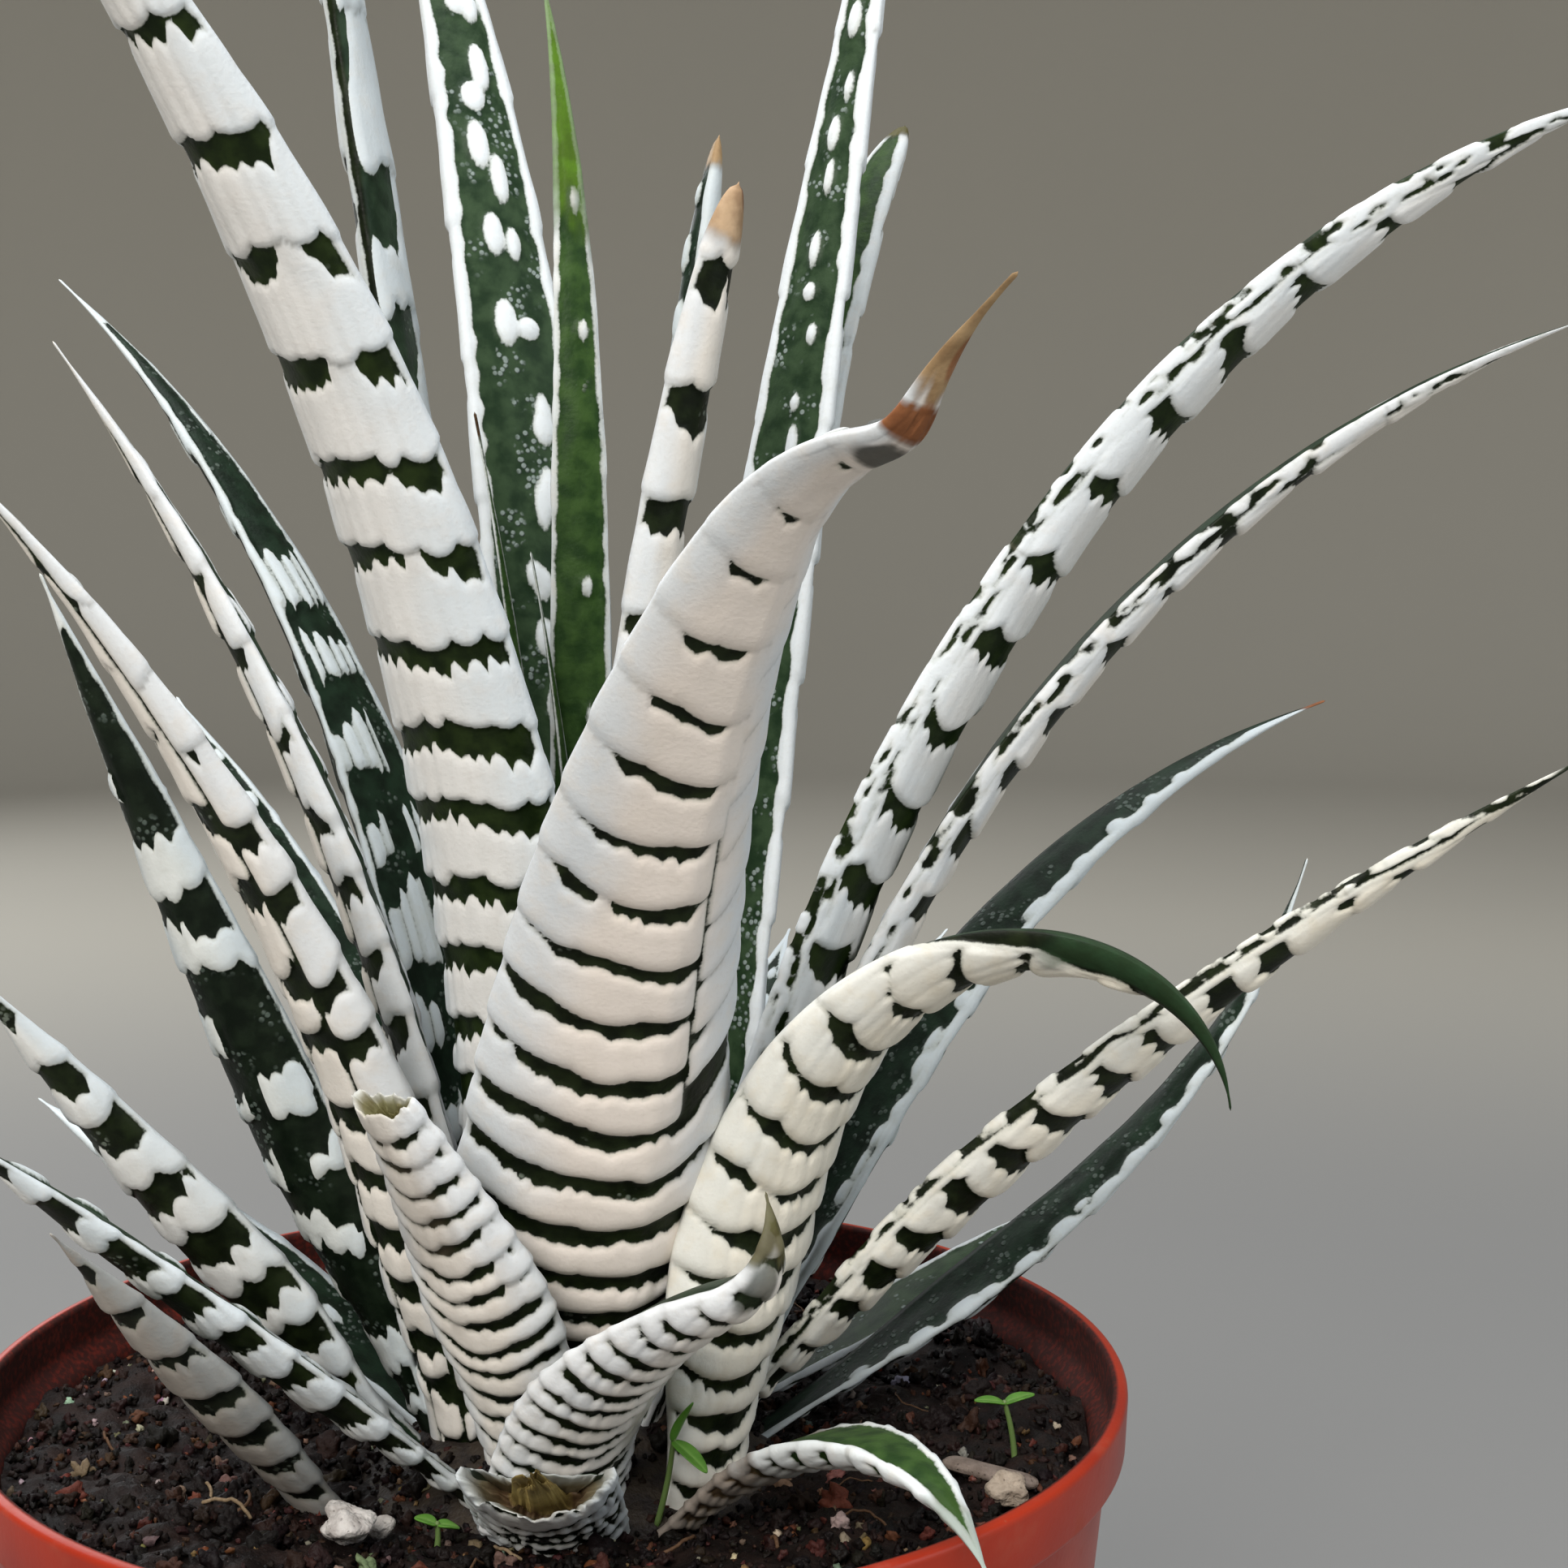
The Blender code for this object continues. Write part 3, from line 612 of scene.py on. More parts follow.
class Bands:
    """The bands on one face of one leaf."""

    MEAN_ARC = 0.62 * 0.9  # mean height of a row of arcs
    BEFORE = 9.0  # length of the band below the leaf's base, in millimetres
    FAR = 9.0  # the distance to a border where there is none
    OVERLAP = 6.0  # how far a band's lobes and fingers can reach past it
    LARGEST_GAP = 0.68  # as a share of the bands' spacing
    SMALLEST_SPAN = 0.02

    def __init__(self, banding: Banding, leaf: "Leaf", seed: int) -> None:
        """Works out where the bands lie.

        Args:
            banding: How they lie.
            leaf: The leaf that they lie on.
            seed: For their random forms.
        """
        self.banding = banding
        self.leaf = leaf
        self.edges = leaf.edges()
        self.seed = seed
        self.lattice = Lattice(seed)

    def scallops(self, draw: np.random.Generator, w: Array, width: float) -> tuple[Array, Array, Array]:
        """Arcs side by side across the leaf.

        Args:
            draw: The source of their random widths and heights.
            w: Places across the leaf in millimetres.
            width: The arcs' usual width.

        Returns:
            The arc's height at each place, the distance to its nearest end, and its middle.
        """
        reach = float(np.max(np.abs(w))) + 2 * width
        widths = width * draw.uniform(0.6, 1.4, int(3 * reach / width) + 4)
        ends = np.cumsum(widths) - widths[0] * draw.uniform(0, 1) - reach
        heights = draw.uniform(0.4, 1.5, len(ends))
        index = np.clip(np.searchsorted(ends, w) - 1, 0, len(ends) - 2)
        size = ends[index + 1] - ends[index]
        u = np.clip((w - ends[index]) / size * 2 - 1, -1.0, 1.0)
        arc = heights[index] * np.sqrt(1 - u * u) * (1.35 - 0.35 * u * u) * 0.75
        return arc - self.MEAN_ARC, (1 - np.abs(u)) * size / 2, ends[index] + size / 2

    def course(self, t: float, period: float, share: Array, wide: Array) -> tuple[Array, Array]:
        """How a band runs across the leaf.

        Args:
            t: The band's place along the leaf, as a share.
            period: The bands' spacing there, in millimetres.
            share: Places across, from -1 to 1.
            wide: Half of the leaf's width at each row.

        Returns:
            Its shift along the leaf, and the distance to the nearest border between columns.
        """
        b = self.banding
        course = -b.dip * wide * (1.0 - share * share)
        side = np.full(share.shape, self.FAR)
        for column in b.columns if t >= b.columns_from else ():
            beyond = (share - column.border) * np.sign(column.border)
            shift = column.shift * period + column.tilt * beyond * wide
            course = np.where(beyond > 0, course + shift, course)
            merge = 2.0 * max(t - b.columns_to, 0.0) / 0.1
            side = np.minimum(side, np.abs(beyond) * wide * 1.15 - 0.08 + merge)
        return course, side

    def openness(self, t: float, band: int, across: Array, share: Array) -> Array:
        """How far the gap above a band is open.

        Args:
            t: The band's place along the leaf, as a share.
            band: Its number.
            across: Places across, in millimetres.
            share: The same as a share of the half width.

        Returns:
            1 where it is open, and 0 where fingers bridge it.
        """
        b = self.banding
        bridge = b.bridged + (b.bridged_tip - b.bridged) * float(smoothstep(np.array(t * 1.6 - 0.4)))
        ease = self.lattice.at(across / b.patch, band * 3.3 + 7.0) * 0.75
        ease += self.lattice.at(across / b.patch * 2.3 + 40.0, band * 5.1) * 0.25
        span = max(b.span + (b.span_tip - b.span) * t, self.SMALLEST_SPAN)
        near = smoothstep((1.0 - np.abs(share - b.heart) / span) * 2.2)
        return smoothstep((ease - bridge) / 0.16 + 0.15) * near

    def drift(self, band: int, across: Array) -> Array:
        """The unevenness of a band's lower edge, in millimetres."""
        return (self.lattice.at(across / 4.0 + 31.0, band * 1.7) - 0.5) * self.banding.wander * 2

    def lay(self, s: Array, w: Array, x: Array, half: Array) -> tuple[Array, Array, Array]:
        """Lays the bands on a grid of points.

        Args:
            s: Distance along the leaf of each row, in millimetres.
            w: Distance across from the keel at each point, in millimetres.
            x: The same as a share of the half width.
            half: Half of the leaf's width at each row.

        Returns:
            The distance into the white, the height of the relief, and the painted shadow along the bands'
            lower edges.
        """
        b = self.banding
        white, relief, crease = np.full(w.shape, NO_WHITE), np.zeros(w.shape), np.zeros(w.shape)
        lows = np.concatenate([[self.edges[0] - self.BEFORE], self.edges])
        for band, (low, high) in enumerate(zip(lows[:-1], lows[1:])):
            rows = np.flatnonzero((s > low - self.OVERLAP) & (s < high + self.OVERLAP))
            if not len(rows):
                continue
            part = slice(rows[0], rows[-1] + 1)
            draw = np.random.default_rng(self.seed * 101 + band)
            here, across, share, wide = s[part, None], w[part], x[part], half[part, None]
            t = max(low, 0.0) / self.leaf.length
            period = high - low
            gap = min(b.gap + (b.gap_tip - b.gap) * t, self.LARGEST_GAP * period)
            course, side = self.course(t, period, share, wide)
            lobes, seam, _ = self.scallops(draw, across, b.lobe)
            fingers, cusp, middle = self.scallops(draw, across, b.finger)
            apart = self.openness(t, band, across, share)
            uneven = 0.72 + 0.56 * self.lattice.at(across / 3.0 + 60.0, band * 2.3)
            opening = gap * uneven * (1.0 - b.taper * np.abs(share) ** 3)
            lower = low + course + self.drift(band, across) - b.sag * lobes
            upper = high + course + self.drift(band + 1, across) - opening * apart
            upper = upper + b.crown * (0.6 - share ** 2) * apart
            upper = upper + b.reach * fingers * (0.25 + 0.75 * apart) + (1.0 - apart) * (b.sag * 1.3 + 0.5)
            if b.cover < 1.0:
                there = self.lattice.at(middle / 2.2 + 90.0, band * 2.9) < b.cover
                upper = np.where(there, upper, lower - 1.0)
            into, left = here - lower, upper - here
            inside = rounded_least(rounded_least(into, side, 0.9), left, 0.3)
            if b.split:
                inside = rounded_least(inside, cusp - b.split, 0.35)
            fall = np.clip(into / max(period - gap, 1.0), 0.0, 1.2)
            form = quarter_round(into / b.roll) * (1.0 - 0.45 * fall) * quarter_round(left / 0.9)
            form *= quarter_round(side / b.roll + 0.1)
            form *= 1.0 - 0.5 * b.seam * bell(seam, 0.25) - b.seam * bell(cusp, 0.22)
            if b.split:
                form *= quarter_round((cusp - b.split + 0.1) / 0.45)
            rise = b.rise + (b.rise_tip - b.rise) * t
            relief[part] = np.maximum(relief[part], rise * form)
            # Painted shadow: a dark line along each band's lower edge, where the raised white would shade
            # the green below.
            edge = bell(into, 0.75 * self.leaf.look.step) * smoothstep(white[part] / 0.4) * rise / b.rise
            crease[part] = np.where(inside > -0.1, np.maximum(crease[part] * (inside < 0.2), edge),
                                    crease[part])
            white[part] = np.maximum(white[part], inside)
        return white, relief, crease


@dataclass(frozen=True)
class Ovals:
    """Separate raised white ovals, in rows along one face of a leaf, in millimetres."""

    spacing: float = 6.0
    rows: tuple[float, ...] = (-0.1,)  # places across, as shares
    length: float = 2.8
    width: float = 1.25
    scatter: float = 0.22
    start: float = 0.12  # share of the length where they start
    rise: float = 0.35

    def lay(self, s: Array, w: Array, half: Array, length: float, seed: int) -> tuple[Array, Array]:
        """Lays the ovals on a grid of points.

        Args:
            s: Distance along the leaf of each row.
            w: Distance across at each point.
            half: The half width at each row.
            length: The leaf's length.
            seed: For their random sizes and places.

        Returns:
            The distance into the white and the height of the relief.
        """
        draw = np.random.default_rng(seed * 77 + 5)
        white, relief = np.full(w.shape, NO_WHITE), np.zeros(w.shape)
        for row in self.rows:
            at = length * self.start + draw.uniform(0, self.spacing)
            while at < min(length * 0.97, s[-1]):
                middle = float(np.interp(at, s, half))
                side = (row + draw.uniform(-1, 1) * self.scatter) * middle
                long = self.length / 2 * draw.uniform(0.55, 1.3)
                wide = min(self.width / 2 * draw.uniform(0.65, 1.2), middle * 0.42)
                rows = np.flatnonzero(np.abs(s - at) < long + 1.0)
                if len(rows):
                    part = slice(rows[0], rows[-1] + 1)
                    away = np.hypot((s[part, None] - at) / long, (w[part] - side) / wide)
                    inside = (1.0 - away) * wide
                    white[part] = np.maximum(white[part], inside)
                    relief[part] = np.maximum(relief[part], self.rise * quarter_round(inside / wide * 1.4))
                at += self.spacing * draw.uniform(0.6, 1.35)
        return white, relief


@dataclass(frozen=True)
class Scar:
    """The hollow in a cut end: its depth and raggedness in millimetres, and its colours."""

    depth: float
    rim: Colour
    floor: Colour
    ragged: float = 0.25
    stump: float = 0.0  # height of what is left of the flesh in its middle
    stump_colour: Colour = (0.20, 0.16, 0.05)


@dataclass(frozen=True)
class Strips:
    """Green strips along the margins of the outer face, which has white bands elsewhere."""

    left: float = 0.0  # width along x = -1, in millimetres
    right: float = 0.0  # and along x = +1
    start: float = -1.0  # share of the length from where they widen
    frost: float = 1.0  # how thickly white flecks lie in them

    def width(self, side: int, t: Array) -> Array:
        """The strip's width on side 0 or 1 at fractions of the length."""
        return (self.left, self.right)[side] * smoothstep((t - self.start) / 0.3)


@dataclass(frozen=True)
class Look:
    """What shows on one leaf."""

    skin: Skin = Skin.WARM
    outer: Banding = Banding()
    inner: Banding | None = None
    ovals: Ovals | None = Ovals()
    margin: float = 0.55  # width of the white cord along its margins
    strips: Strips = Strips()  # green strips along them instead
    strand: float = 0.0  # half width of a dried strand at the tip
    stains: tuple[Stain, ...] = ()
    step: float = 0.40  # spacing of the mesh in millimetres
    ridge: float = 0.12  # sharpness of the keel
    scar: Scar | None = None  # of an end that was cut off


@dataclass(frozen=True)
class Crown:
    """The stem's crown, which the leaves sit on, in millimetres."""

    x: float = 2.0
    y: float = -1.0
    dome: tuple[tuple[float, float], ...] = (
        (0.0, 79.0), (4.0, 78.3), (8.0, 76.9), (12.0, 75.3), (15.0, 73.6), (17.3, 71.8))
    foot: tuple[tuple[float, float], ...] = ((15.0, 69.5), (9.0, 68.0), (0.0, 66.3))
    skirt: float = 18.0  # crumbs nearer than this lie on it
    sides: int = 96

    def height(self, distance: Array) -> Array:
        """The crown's height at a distance from the stem's axis."""
        radii, heights = zip(*self.dome)
        return np.interp(distance, radii, heights)

    def build(self) -> None:
        """Makes the stem, scarred where old leaves were."""
        fine = np.linspace(0.0, self.dome[-1][0], 44)[1:]
        profile = [(r, float(self.height(r))) for r in fine] + list(self.foot[:-1])
        angles = ring_angles(self.sides)
        lattice = Lattice(404)
        rings = []
        for radius, height in profile:
            rough = lattice.layered(angles * 6.0, height * 1.3, 3) * 0.35
            rings.append(np.stack([self.x + (radius + rough) * np.cos(angles),
                                   self.y + (radius + rough) * np.sin(angles),
                                   height + rough * 0.5], 1))
        ends = [[self.x, self.y, level] for _, level in (self.foot[-1], self.dome[0])]
        body = Body()
        body.add(np.vstack([*rings, ends]), closed_faces(len(rings), self.sides, False))
        body.piece("stem_fine", StemFlesh().material, "stem_flesh", "stem")


CROWN = Crown()


@dataclass(frozen=True)
class Leaf:
    """One leaf: how it grew, with lengths in millimetres and angles in degrees, and its look."""

    name: str
    azimuth: float
    radius: float
    length: float
    width: float
    lean: float
    bend: float
    look: Look = Look()
    curl: float = 1.0
    aim: float | None = None
    sweep: float = 0.0
    swing: float = 1.0
    roll: float = 0.0
    hook: float = 0.0
    flick: float = 0.0
    bands: int = 14
    spread: float = 1.2
    keel: float = 0.0
    base: float = 0.6
    cut: float = 0.0
    full: float = 2.2
    fine: float = 1.1
    height: float | None = None

    # What all leaves share, in millimetres and shares of the length.
    OPENING = 20.0
    CLASP = 16.0
    SHEATH = 14.0
    ROLL_LENGTH = 0.4
    HOOK_START = 0.72
    FLICK_START = 0.87
    FLICK_LENGTH = 0.05
    TIP_HALF_WIDTH = 0.14
    SEAT_GAP = 0.35
    SINK = 2.0
    LINE_STEPS = 240
    CORNERS = ((-1.0, 0.0), (-0.62, 0.78), (0.0, 1.0), (0.62, 0.78), (1.0, 0.0))

    @property
    def seed(self) -> int:
        """The leaf's number."""
        return int(self.name.split("_")[1])

    def frames(self, t: Array) -> tuple[Array, Array, Array]:
        """How the leaf is turned.

        Args:
            t: Fractions of its length.

        Returns:
            The directions along, across and outwards there.
        """
        t = np.maximum(t, 0.0)
        hook = self.hook * smoothstep((t - self.HOOK_START) / (1.0 - self.HOOK_START))
        flick = self.flick * smoothstep((t - self.FLICK_START) / self.FLICK_LENGTH)
        lean = np.radians(self.lean + self.bend * t ** self.curl + hook - flick)
        aim = self.azimuth if self.aim is None else self.aim
        azimuth = np.radians(aim + self.sweep * t ** self.swing)
        along = np.stack([np.sin(lean) * np.cos(azimuth), np.sin(lean) * np.sin(azimuth), np.cos(lean)], 1)
        across = np.stack([-np.sin(azimuth), np.cos(azimuth), np.zeros_like(t)], 1)
        out = np.cross(across, along)
        roll = np.radians(self.roll * smoothstep(t / self.ROLL_LENGTH))[:, None]
        return along, across * np.cos(roll) - out * np.sin(roll), out * np.cos(roll) + across * np.sin(roll)

    def middle(self, t: Array, height: float) -> Array:
        """The line that the leaf follows.

        Args:
            t: Fractions of its length, which may be a little below 0.
            height: The height of its base.

        Returns:
            Points on that line.
        """
        fine = np.linspace(0.0, 1.0, self.LINE_STEPS + 1)
        along = self.frames(fine)[0]
        step = self.length / self.LINE_STEPS
        run = np.vstack([np.zeros(3), np.cumsum((along[1:] + along[:-1]) / 2 * step, axis=0)])
        east, north = direction(self.azimuth)
        start = np.array([CROWN.x + self.radius * east, CROWN.y + self.radius * north, height])
        path = start + np.stack([np.interp(t, fine, run[:, axis]) for axis in range(3)], 1)
        return path + np.minimum(t, 0.0)[:, None] * self.length * along[0]

    def half_width(self, t: Array) -> Array:
        """The leaf's outline.

        Args:
            t: Fractions of its length.

        Returns:
            Half of its width there.
        """
        inside = np.clip(t, 0.0, 1.0)
        opening = self.base + (1.0 - self.base) * smoothstep(inside * self.length / self.OPENING)
        half = self.width / 2 * opening * (1.0 - inside ** self.full) ** self.fine
        strand = self.look.strand * (1.0 - 0.6 * smoothstep((inside - 0.93) / 0.07))
        return np.maximum(half, np.maximum(strand, self.TIP_HALF_WIDTH))

    def sections(self, t: Array, x: Array, out: Array, outer: Array) -> tuple[Array, Array]:
        """The leaf's outlines.

        Args:
            t: Fractions of the length, one for each ring.
            x: Places across round a ring, from -1 to 1.
            out: Height of the outer face there, from 0 to 1, or 0 on the inner face.
            outer: Whether each place is on the outer face.

        Returns:
            Offsets across and outwards, one row for each ring.
        """
        half = self.half_width(t)[:, None]
        inside = np.maximum(t, 0.0)[:, None]
        run = inside * self.length
        depth = half * (0.50 + 0.35 * inside) * (0.62 + 0.38 * smoothstep(run / self.SHEATH))
        hollow = half * (0.10 - 0.35 * inside) * (1.0 - x * x) * 1.2
        outwards = np.where(outer, out * depth, hollow)
        clasp = (half * x) ** 2 / (2.0 * max(self.radius, 4.0)) * (1.0 - smoothstep(run / self.CLASP))
        return half * x, outwards - clasp - 0.4 * depth

    def seat(self) -> float:
        """The leaf's seat on the crown, which is that of its solid.

        Returns:
            The height of its base.
        """
        if self.height is not None:
            return self.height
        start = np.zeros(1)
        corners, rise = np.array(self.CORNERS).T
        across, outwards = self.sections(start, corners, rise, np.ones(len(corners), bool))
        _, side, out = self.frames(start)
        ring = self.middle(start, 0.0) + np.outer(across[0], side[0]) + np.outer(outwards[0], out[0])
        distance = np.hypot(ring[:, 0] - CROWN.x, ring[:, 1] - CROWN.y)
        return float(np.max(CROWN.height(distance) - ring[:, 2])) + self.SEAT_GAP

    def edges(self) -> Array:
        """Where the bands lie.

        Returns:
            The lower edge of each band, in millimetres along the leaf, and a place past its end.
        """
        end = (1.0 - self.cut) * self.length
        count = np.arange(self.bands)
        return np.append(end * ((count + 0.6) / (self.bands + 0.2)) ** self.spread, end + 3.0)

    def build(self) -> None:
        """Makes the leaf's fine mesh, with its relief, marks and stains."""
        LeafMesh(self).build()


class LeafMesh:
    """The fine mesh of one leaf, with sizes in millimetres."""

    OUTER_SHARE, INNER_SHARE = 1.35, 0.75  # the faces' girths as shares of the width
    SWELL = 0.025  # unevenness of the girth, as a share
    CORD_RISE = 0.22
    FINE_CORD = 0.32
    FLAT_BELOW = 1.8  # half width below which the relief fades
    WAVE = 0.10  # unevenness of the skin
    TEAR = 2.5  # how far from a cut end its unevenness starts
    TIP = 0.25  # how far the tip stands out from the last ring
    SCAR_RINGS = (0.95, 0.88, 0.80, 0.72, 0.62, 0.52, 0.42, 0.34, 0.27, 0.21, 0.15, 0.10, 0.06)

    def __init__(self, leaf: Leaf) -> None:
        """Lays out the rings along the leaf and the points round them.

        Args:
            leaf: The leaf.
        """
        self.leaf = leaf
        look = leaf.look
        end = 1.0 - leaf.cut
        rings = int((end * leaf.length + leaf.SINK) / look.step) + 2
        self.t = np.linspace(-leaf.SINK / leaf.length, end, rings)
        self.s = self.t * leaf.length
        outer = max(13, int(leaf.width * self.OUTER_SHARE / look.step) | 1)
        inner = max(7, int(leaf.width * self.INNER_SHARE / look.step))
        angle = np.linspace(0.0, pi, outer)
        x = -np.cos(angle)
        x = x + leaf.keel * (1.0 - x * x) * 0.9
        rise = (1.0 - look.ridge) * np.sin(angle) + look.ridge * (1.0 - np.abs(np.cos(angle)))
        back = np.linspace(1.0, -1.0, inner + 2)[1:-1]
        self.x = np.concatenate([x, back])
        self.rise = np.concatenate([rise, np.zeros(inner)])
        self.outer = np.concatenate([np.ones(outer, bool), np.zeros(inner, bool)])
        self.outer_count, self.count = outer, outer + inner
        self.lattice = Lattice(leaf.seed + 300)

    def surface(self) -> tuple[Array, Array]:
        """The smooth surface, without its relief.

        Returns:
            Rings of points, and the normal at each.
        """
        leaf = self.leaf
        across, outwards = leaf.sections(self.t, self.x[None, :], self.rise[None, :], self.outer[None, :])
        swell = 1.0 + self.SWELL * self.lattice.layered(self.s / 9.0, 3.0, 2)[:, None]
        _, side, out = leaf.frames(self.t)
        middle = leaf.middle(self.t, leaf.seat())
        points = (middle[:, None, :] + (across * swell)[:, :, None] * side[:, None, :]
                  + outwards[:, :, None] * out[:, None, :])
        self.flat = np.stack([across, outwards], -1)
        round_ring = np.roll(points, -1, 1) - np.roll(points, 1, 1)
        normals = np.cross(round_ring, np.gradient(points, axis=0))
        return points, normals / np.maximum(np.linalg.norm(normals, axis=2, keepdims=True), 1e-9)

    def arcs(self) -> Array:
        """The distances across the outer face.

        Returns:
            The distance of each point from the keel, measured on the skin.
        """
        face = self.flat[:, : self.outer_count]
        steps = np.linalg.norm(np.diff(face, axis=1), axis=2)
        run = np.concatenate([np.zeros((len(self.s), 1)), np.cumsum(steps, axis=1)], axis=1)
        keel = int(np.argmax(self.rise[: self.outer_count]))
        return run - run[:, keel: keel + 1]

    def marks(self) -> tuple[Array, Array, Array]:
        """The white tissue over the whole leaf.

        Returns:
            The distance into the white, the height of the relief, and the painted shadow along the bands'
            lower edges.
        """
        leaf, look, n = self.leaf, self.leaf.look, self.outer_count
        half = leaf.half_width(self.t)
        arcs = self.arcs()
        x = np.broadcast_to(self.x, (len(self.s), self.count))
        white, relief, crease = (np.zeros(x.shape) for _ in range(3))
        white[:, :n], relief[:, :n], crease[:, :n] = Bands(
            look.outer, leaf, leaf.seed).lay(self.s, arcs, x[:, :n], half)
        margins = arcs - arcs[:, :1], arcs[:, -1:] - arcs
        for side, reach in enumerate(margins):
            if (look.strips.left, look.strips.right)[side]:
                white[:, :n], relief[:, :n] = self.bare_strip(white[:, :n], relief[:, :n], reach, side)
        back = self.flat[:, n:, 0]
        white[:, n:] = NO_WHITE
        if look.inner:
            white[:, n:], relief[:, n:], crease[:, n:] = Bands(
                look.inner, leaf, leaf.seed + 50).lay(self.s, back, x[:, n:], half)
        if look.ovals:
            spots, bumps = look.ovals.lay(self.s, back, half, leaf.length, leaf.seed)
            white[:, n:] = np.maximum(white[:, n:], spots)
            relief[:, n:] = np.maximum(relief[:, n:], bumps)
        reach = np.concatenate([np.minimum(*margins), half[:, None] - np.abs(back)], axis=1)
        open_left, open_right = (look.strips.width(side, self.t)[:, None] < 0.2 for side in (0, 1))
        plain = np.where(x < 0, open_left, open_right)
        uneven = 0.72 + 0.65 * self.lattice.at(self.s[:, None] / 1.4, np.sign(x) * 5.0)
        cord = np.where(plain, look.margin * uneven, NO_WHITE) - reach
        white = np.maximum(white, cord)
        swelling = quarter_round(cord / np.maximum(look.margin, 0.1) * 1.5)
        relief = np.maximum(relief, self.CORD_RISE * swelling)
        thin = smoothstep(half / self.FLAT_BELOW)[:, None]
        wave = self.lattice.layered(self.s[:, None] / 5.0, x * 1.6 + 9.0, 2) * self.WAVE
        return white, (relief + wave) * thin, crease

    def bare_strip(self, white: Array, relief: Array, reach: Array, side: int) -> tuple[Array, Array]:
        """Clears a green strip along a margin, with a fine cord along it and frosty flecks in it.

        Args:
            white: The distance into the white.
            relief: The height of the relief.
            reach: The distance from that margin at each point, in millimetres.
            side: 0 or 1, for the margin.

        Returns:
            The white and the relief with the strip.
        """
        s, strips = self.s[:, None], self.leaf.look.strips
        uneven = 0.78 + 0.44 * self.lattice.at(s / 3.0, 7.0 * side)
        ragged = strips.width(side, self.t)[:, None] * uneven + 0.01
        white = rounded_least(white, reach - ragged, 0.5)
        relief = relief * quarter_round((reach - ragged) / 0.5)
        cord = self.FINE_CORD * smoothstep(self.lattice.at(s / 2.2, 9.0 + side) * 3.0)
        cord = cord - np.abs(reach - ragged)
        flecks = self.lattice.at(s / 1.5, reach / 0.42 + 30.0) * 0.7
        flecks += self.lattice.at(s / 0.6, reach / 0.3) * 0.3
        edge = 1.0 - reach / ragged
        frost = (flecks - 0.72 + 0.12 * strips.frost + 0.20 * edge) * 1.3
        frost = np.where((reach < ragged) & (strips.frost > 0.0), frost, NO_WHITE)
        added = np.where(ragged > 0.1, np.maximum(cord, frost), NO_WHITE)
        return np.maximum(white, added), np.maximum(relief, 0.2 * quarter_round(added / 0.3))

    def tints(self) -> Array:
        """The stains.

        Returns:
            The colour laid over each point, with its share.
        """
        x = np.broadcast_to(self.x, (len(self.s), self.count))
        t = np.broadcast_to(self.t[:, None], x.shape)
        tint = np.zeros((*x.shape, 4))
        patchy = self.lattice.layered(self.s[:, None] / 2.5, x * 2.0, 3) * 0.5 + 0.5
        for stain in self.leaf.look.stains:
            share = stain.share(t, x, patchy)[..., None]
            tint[..., :3] = tint[..., :3] * (1 - share) + np.array(stain.colour) * share
            tint[..., 3:] = np.maximum(tint[..., 3:], share)
        return tint

    def scar_rings(self, last: Array, along: Array) -> tuple[list[Array], list[float]]:
        """The rings that turn in from the rim of a cut end.

        Args:
            last: The ring at the rim.
            along: The leaf's direction there.

        Returns:
            The rings, and how deep in each lies, or -1 where it belongs to the stump.
        """
        scar = self.leaf.look.scar
        centre = last.mean(0)
        angles = np.arange(self.count) / self.count * 14.0
        rings, shares = [], []
        for share in self.SCAR_RINGS:
            drop = scar.depth * float(smoothstep(np.array((1.0 - share) / 0.6)))
            rough = self.lattice.layered(angles, share * 9.0, 3)[:, None] * scar.ragged
            rough = rough * (1.15 - share) * 2.0
            lip = 0.25 * float(bell(np.array(share - 0.93), 0.06))
            rise = scar.stump * float(smoothstep(np.array((0.38 - share) / 0.16)))
            rings.append(centre + (last - centre) * share - along * (drop - lip - rise) + rough * along)
            shares.append(-1.0 if scar.stump and share < 0.36 else drop / scar.depth)
        return rings, shares

    def build(self) -> None:
        """Joins everything into one mesh."""
        leaf, look = self.leaf, self.leaf.look
        points, normals = self.surface()
        white, relief, crease = self.marks()
        tint = self.tints()
        points = points + normals * relief[..., None]
        rings, count = len(self.s), self.count
        along = leaf.frames(self.t[-1:])[0][0]
        stack = [points.reshape(-1, 3)]
        values = {"white": [white.ravel()], "crease": [crease.ravel()], "tint": [tint.reshape(-1, 4)]}
        if look.scar:
            angles = np.arange(count) / count * 22.0
            torn = self.lattice.layered(angles, 3.0, 3) * look.scar.ragged * 0.8
            height = smoothstep((self.s - self.s[-1]) / self.TEAR + 1.0)
            stack[0] = (points + height[:, None, None] * torn[None, :, None] * along).reshape(-1, 3)
            extra, shares = self.scar_rings(stack[0][-count:], along)
            for ring, share in zip(extra, shares):
                stack.append(ring)
                other = look.scar.stump_colour if share < 0.0 else look.scar.floor
                share = abs(share)
                colour = np.array(look.scar.rim) * (1 - share) + np.array(other) * share
                values["white"].append(np.full(count, 0.6))
                values["crease"].append(np.zeros(count))
                values["tint"].append(np.tile([*colour, 0.35 + 0.65 * min(1.0, share * 3)], (count, 1)))
            rings += len(extra)
        tip = stack[-1][-count:].mean(0) + (0.0 if look.scar else self.TIP) * along
        base = points[0].mean(0)
        ends = {"white": np.zeros(2), "crease": np.zeros(2), "tint": np.zeros((2, 4))}
        ends["tint"][0] = values["tint"][-1][-1]
        joined = {key: np.concatenate([*parts, ends[key]]) for key, parts in values.items()}
        inner = np.append(np.tile(np.where(self.outer, 0.0, 1.0), rings), [0.0, 0.0])
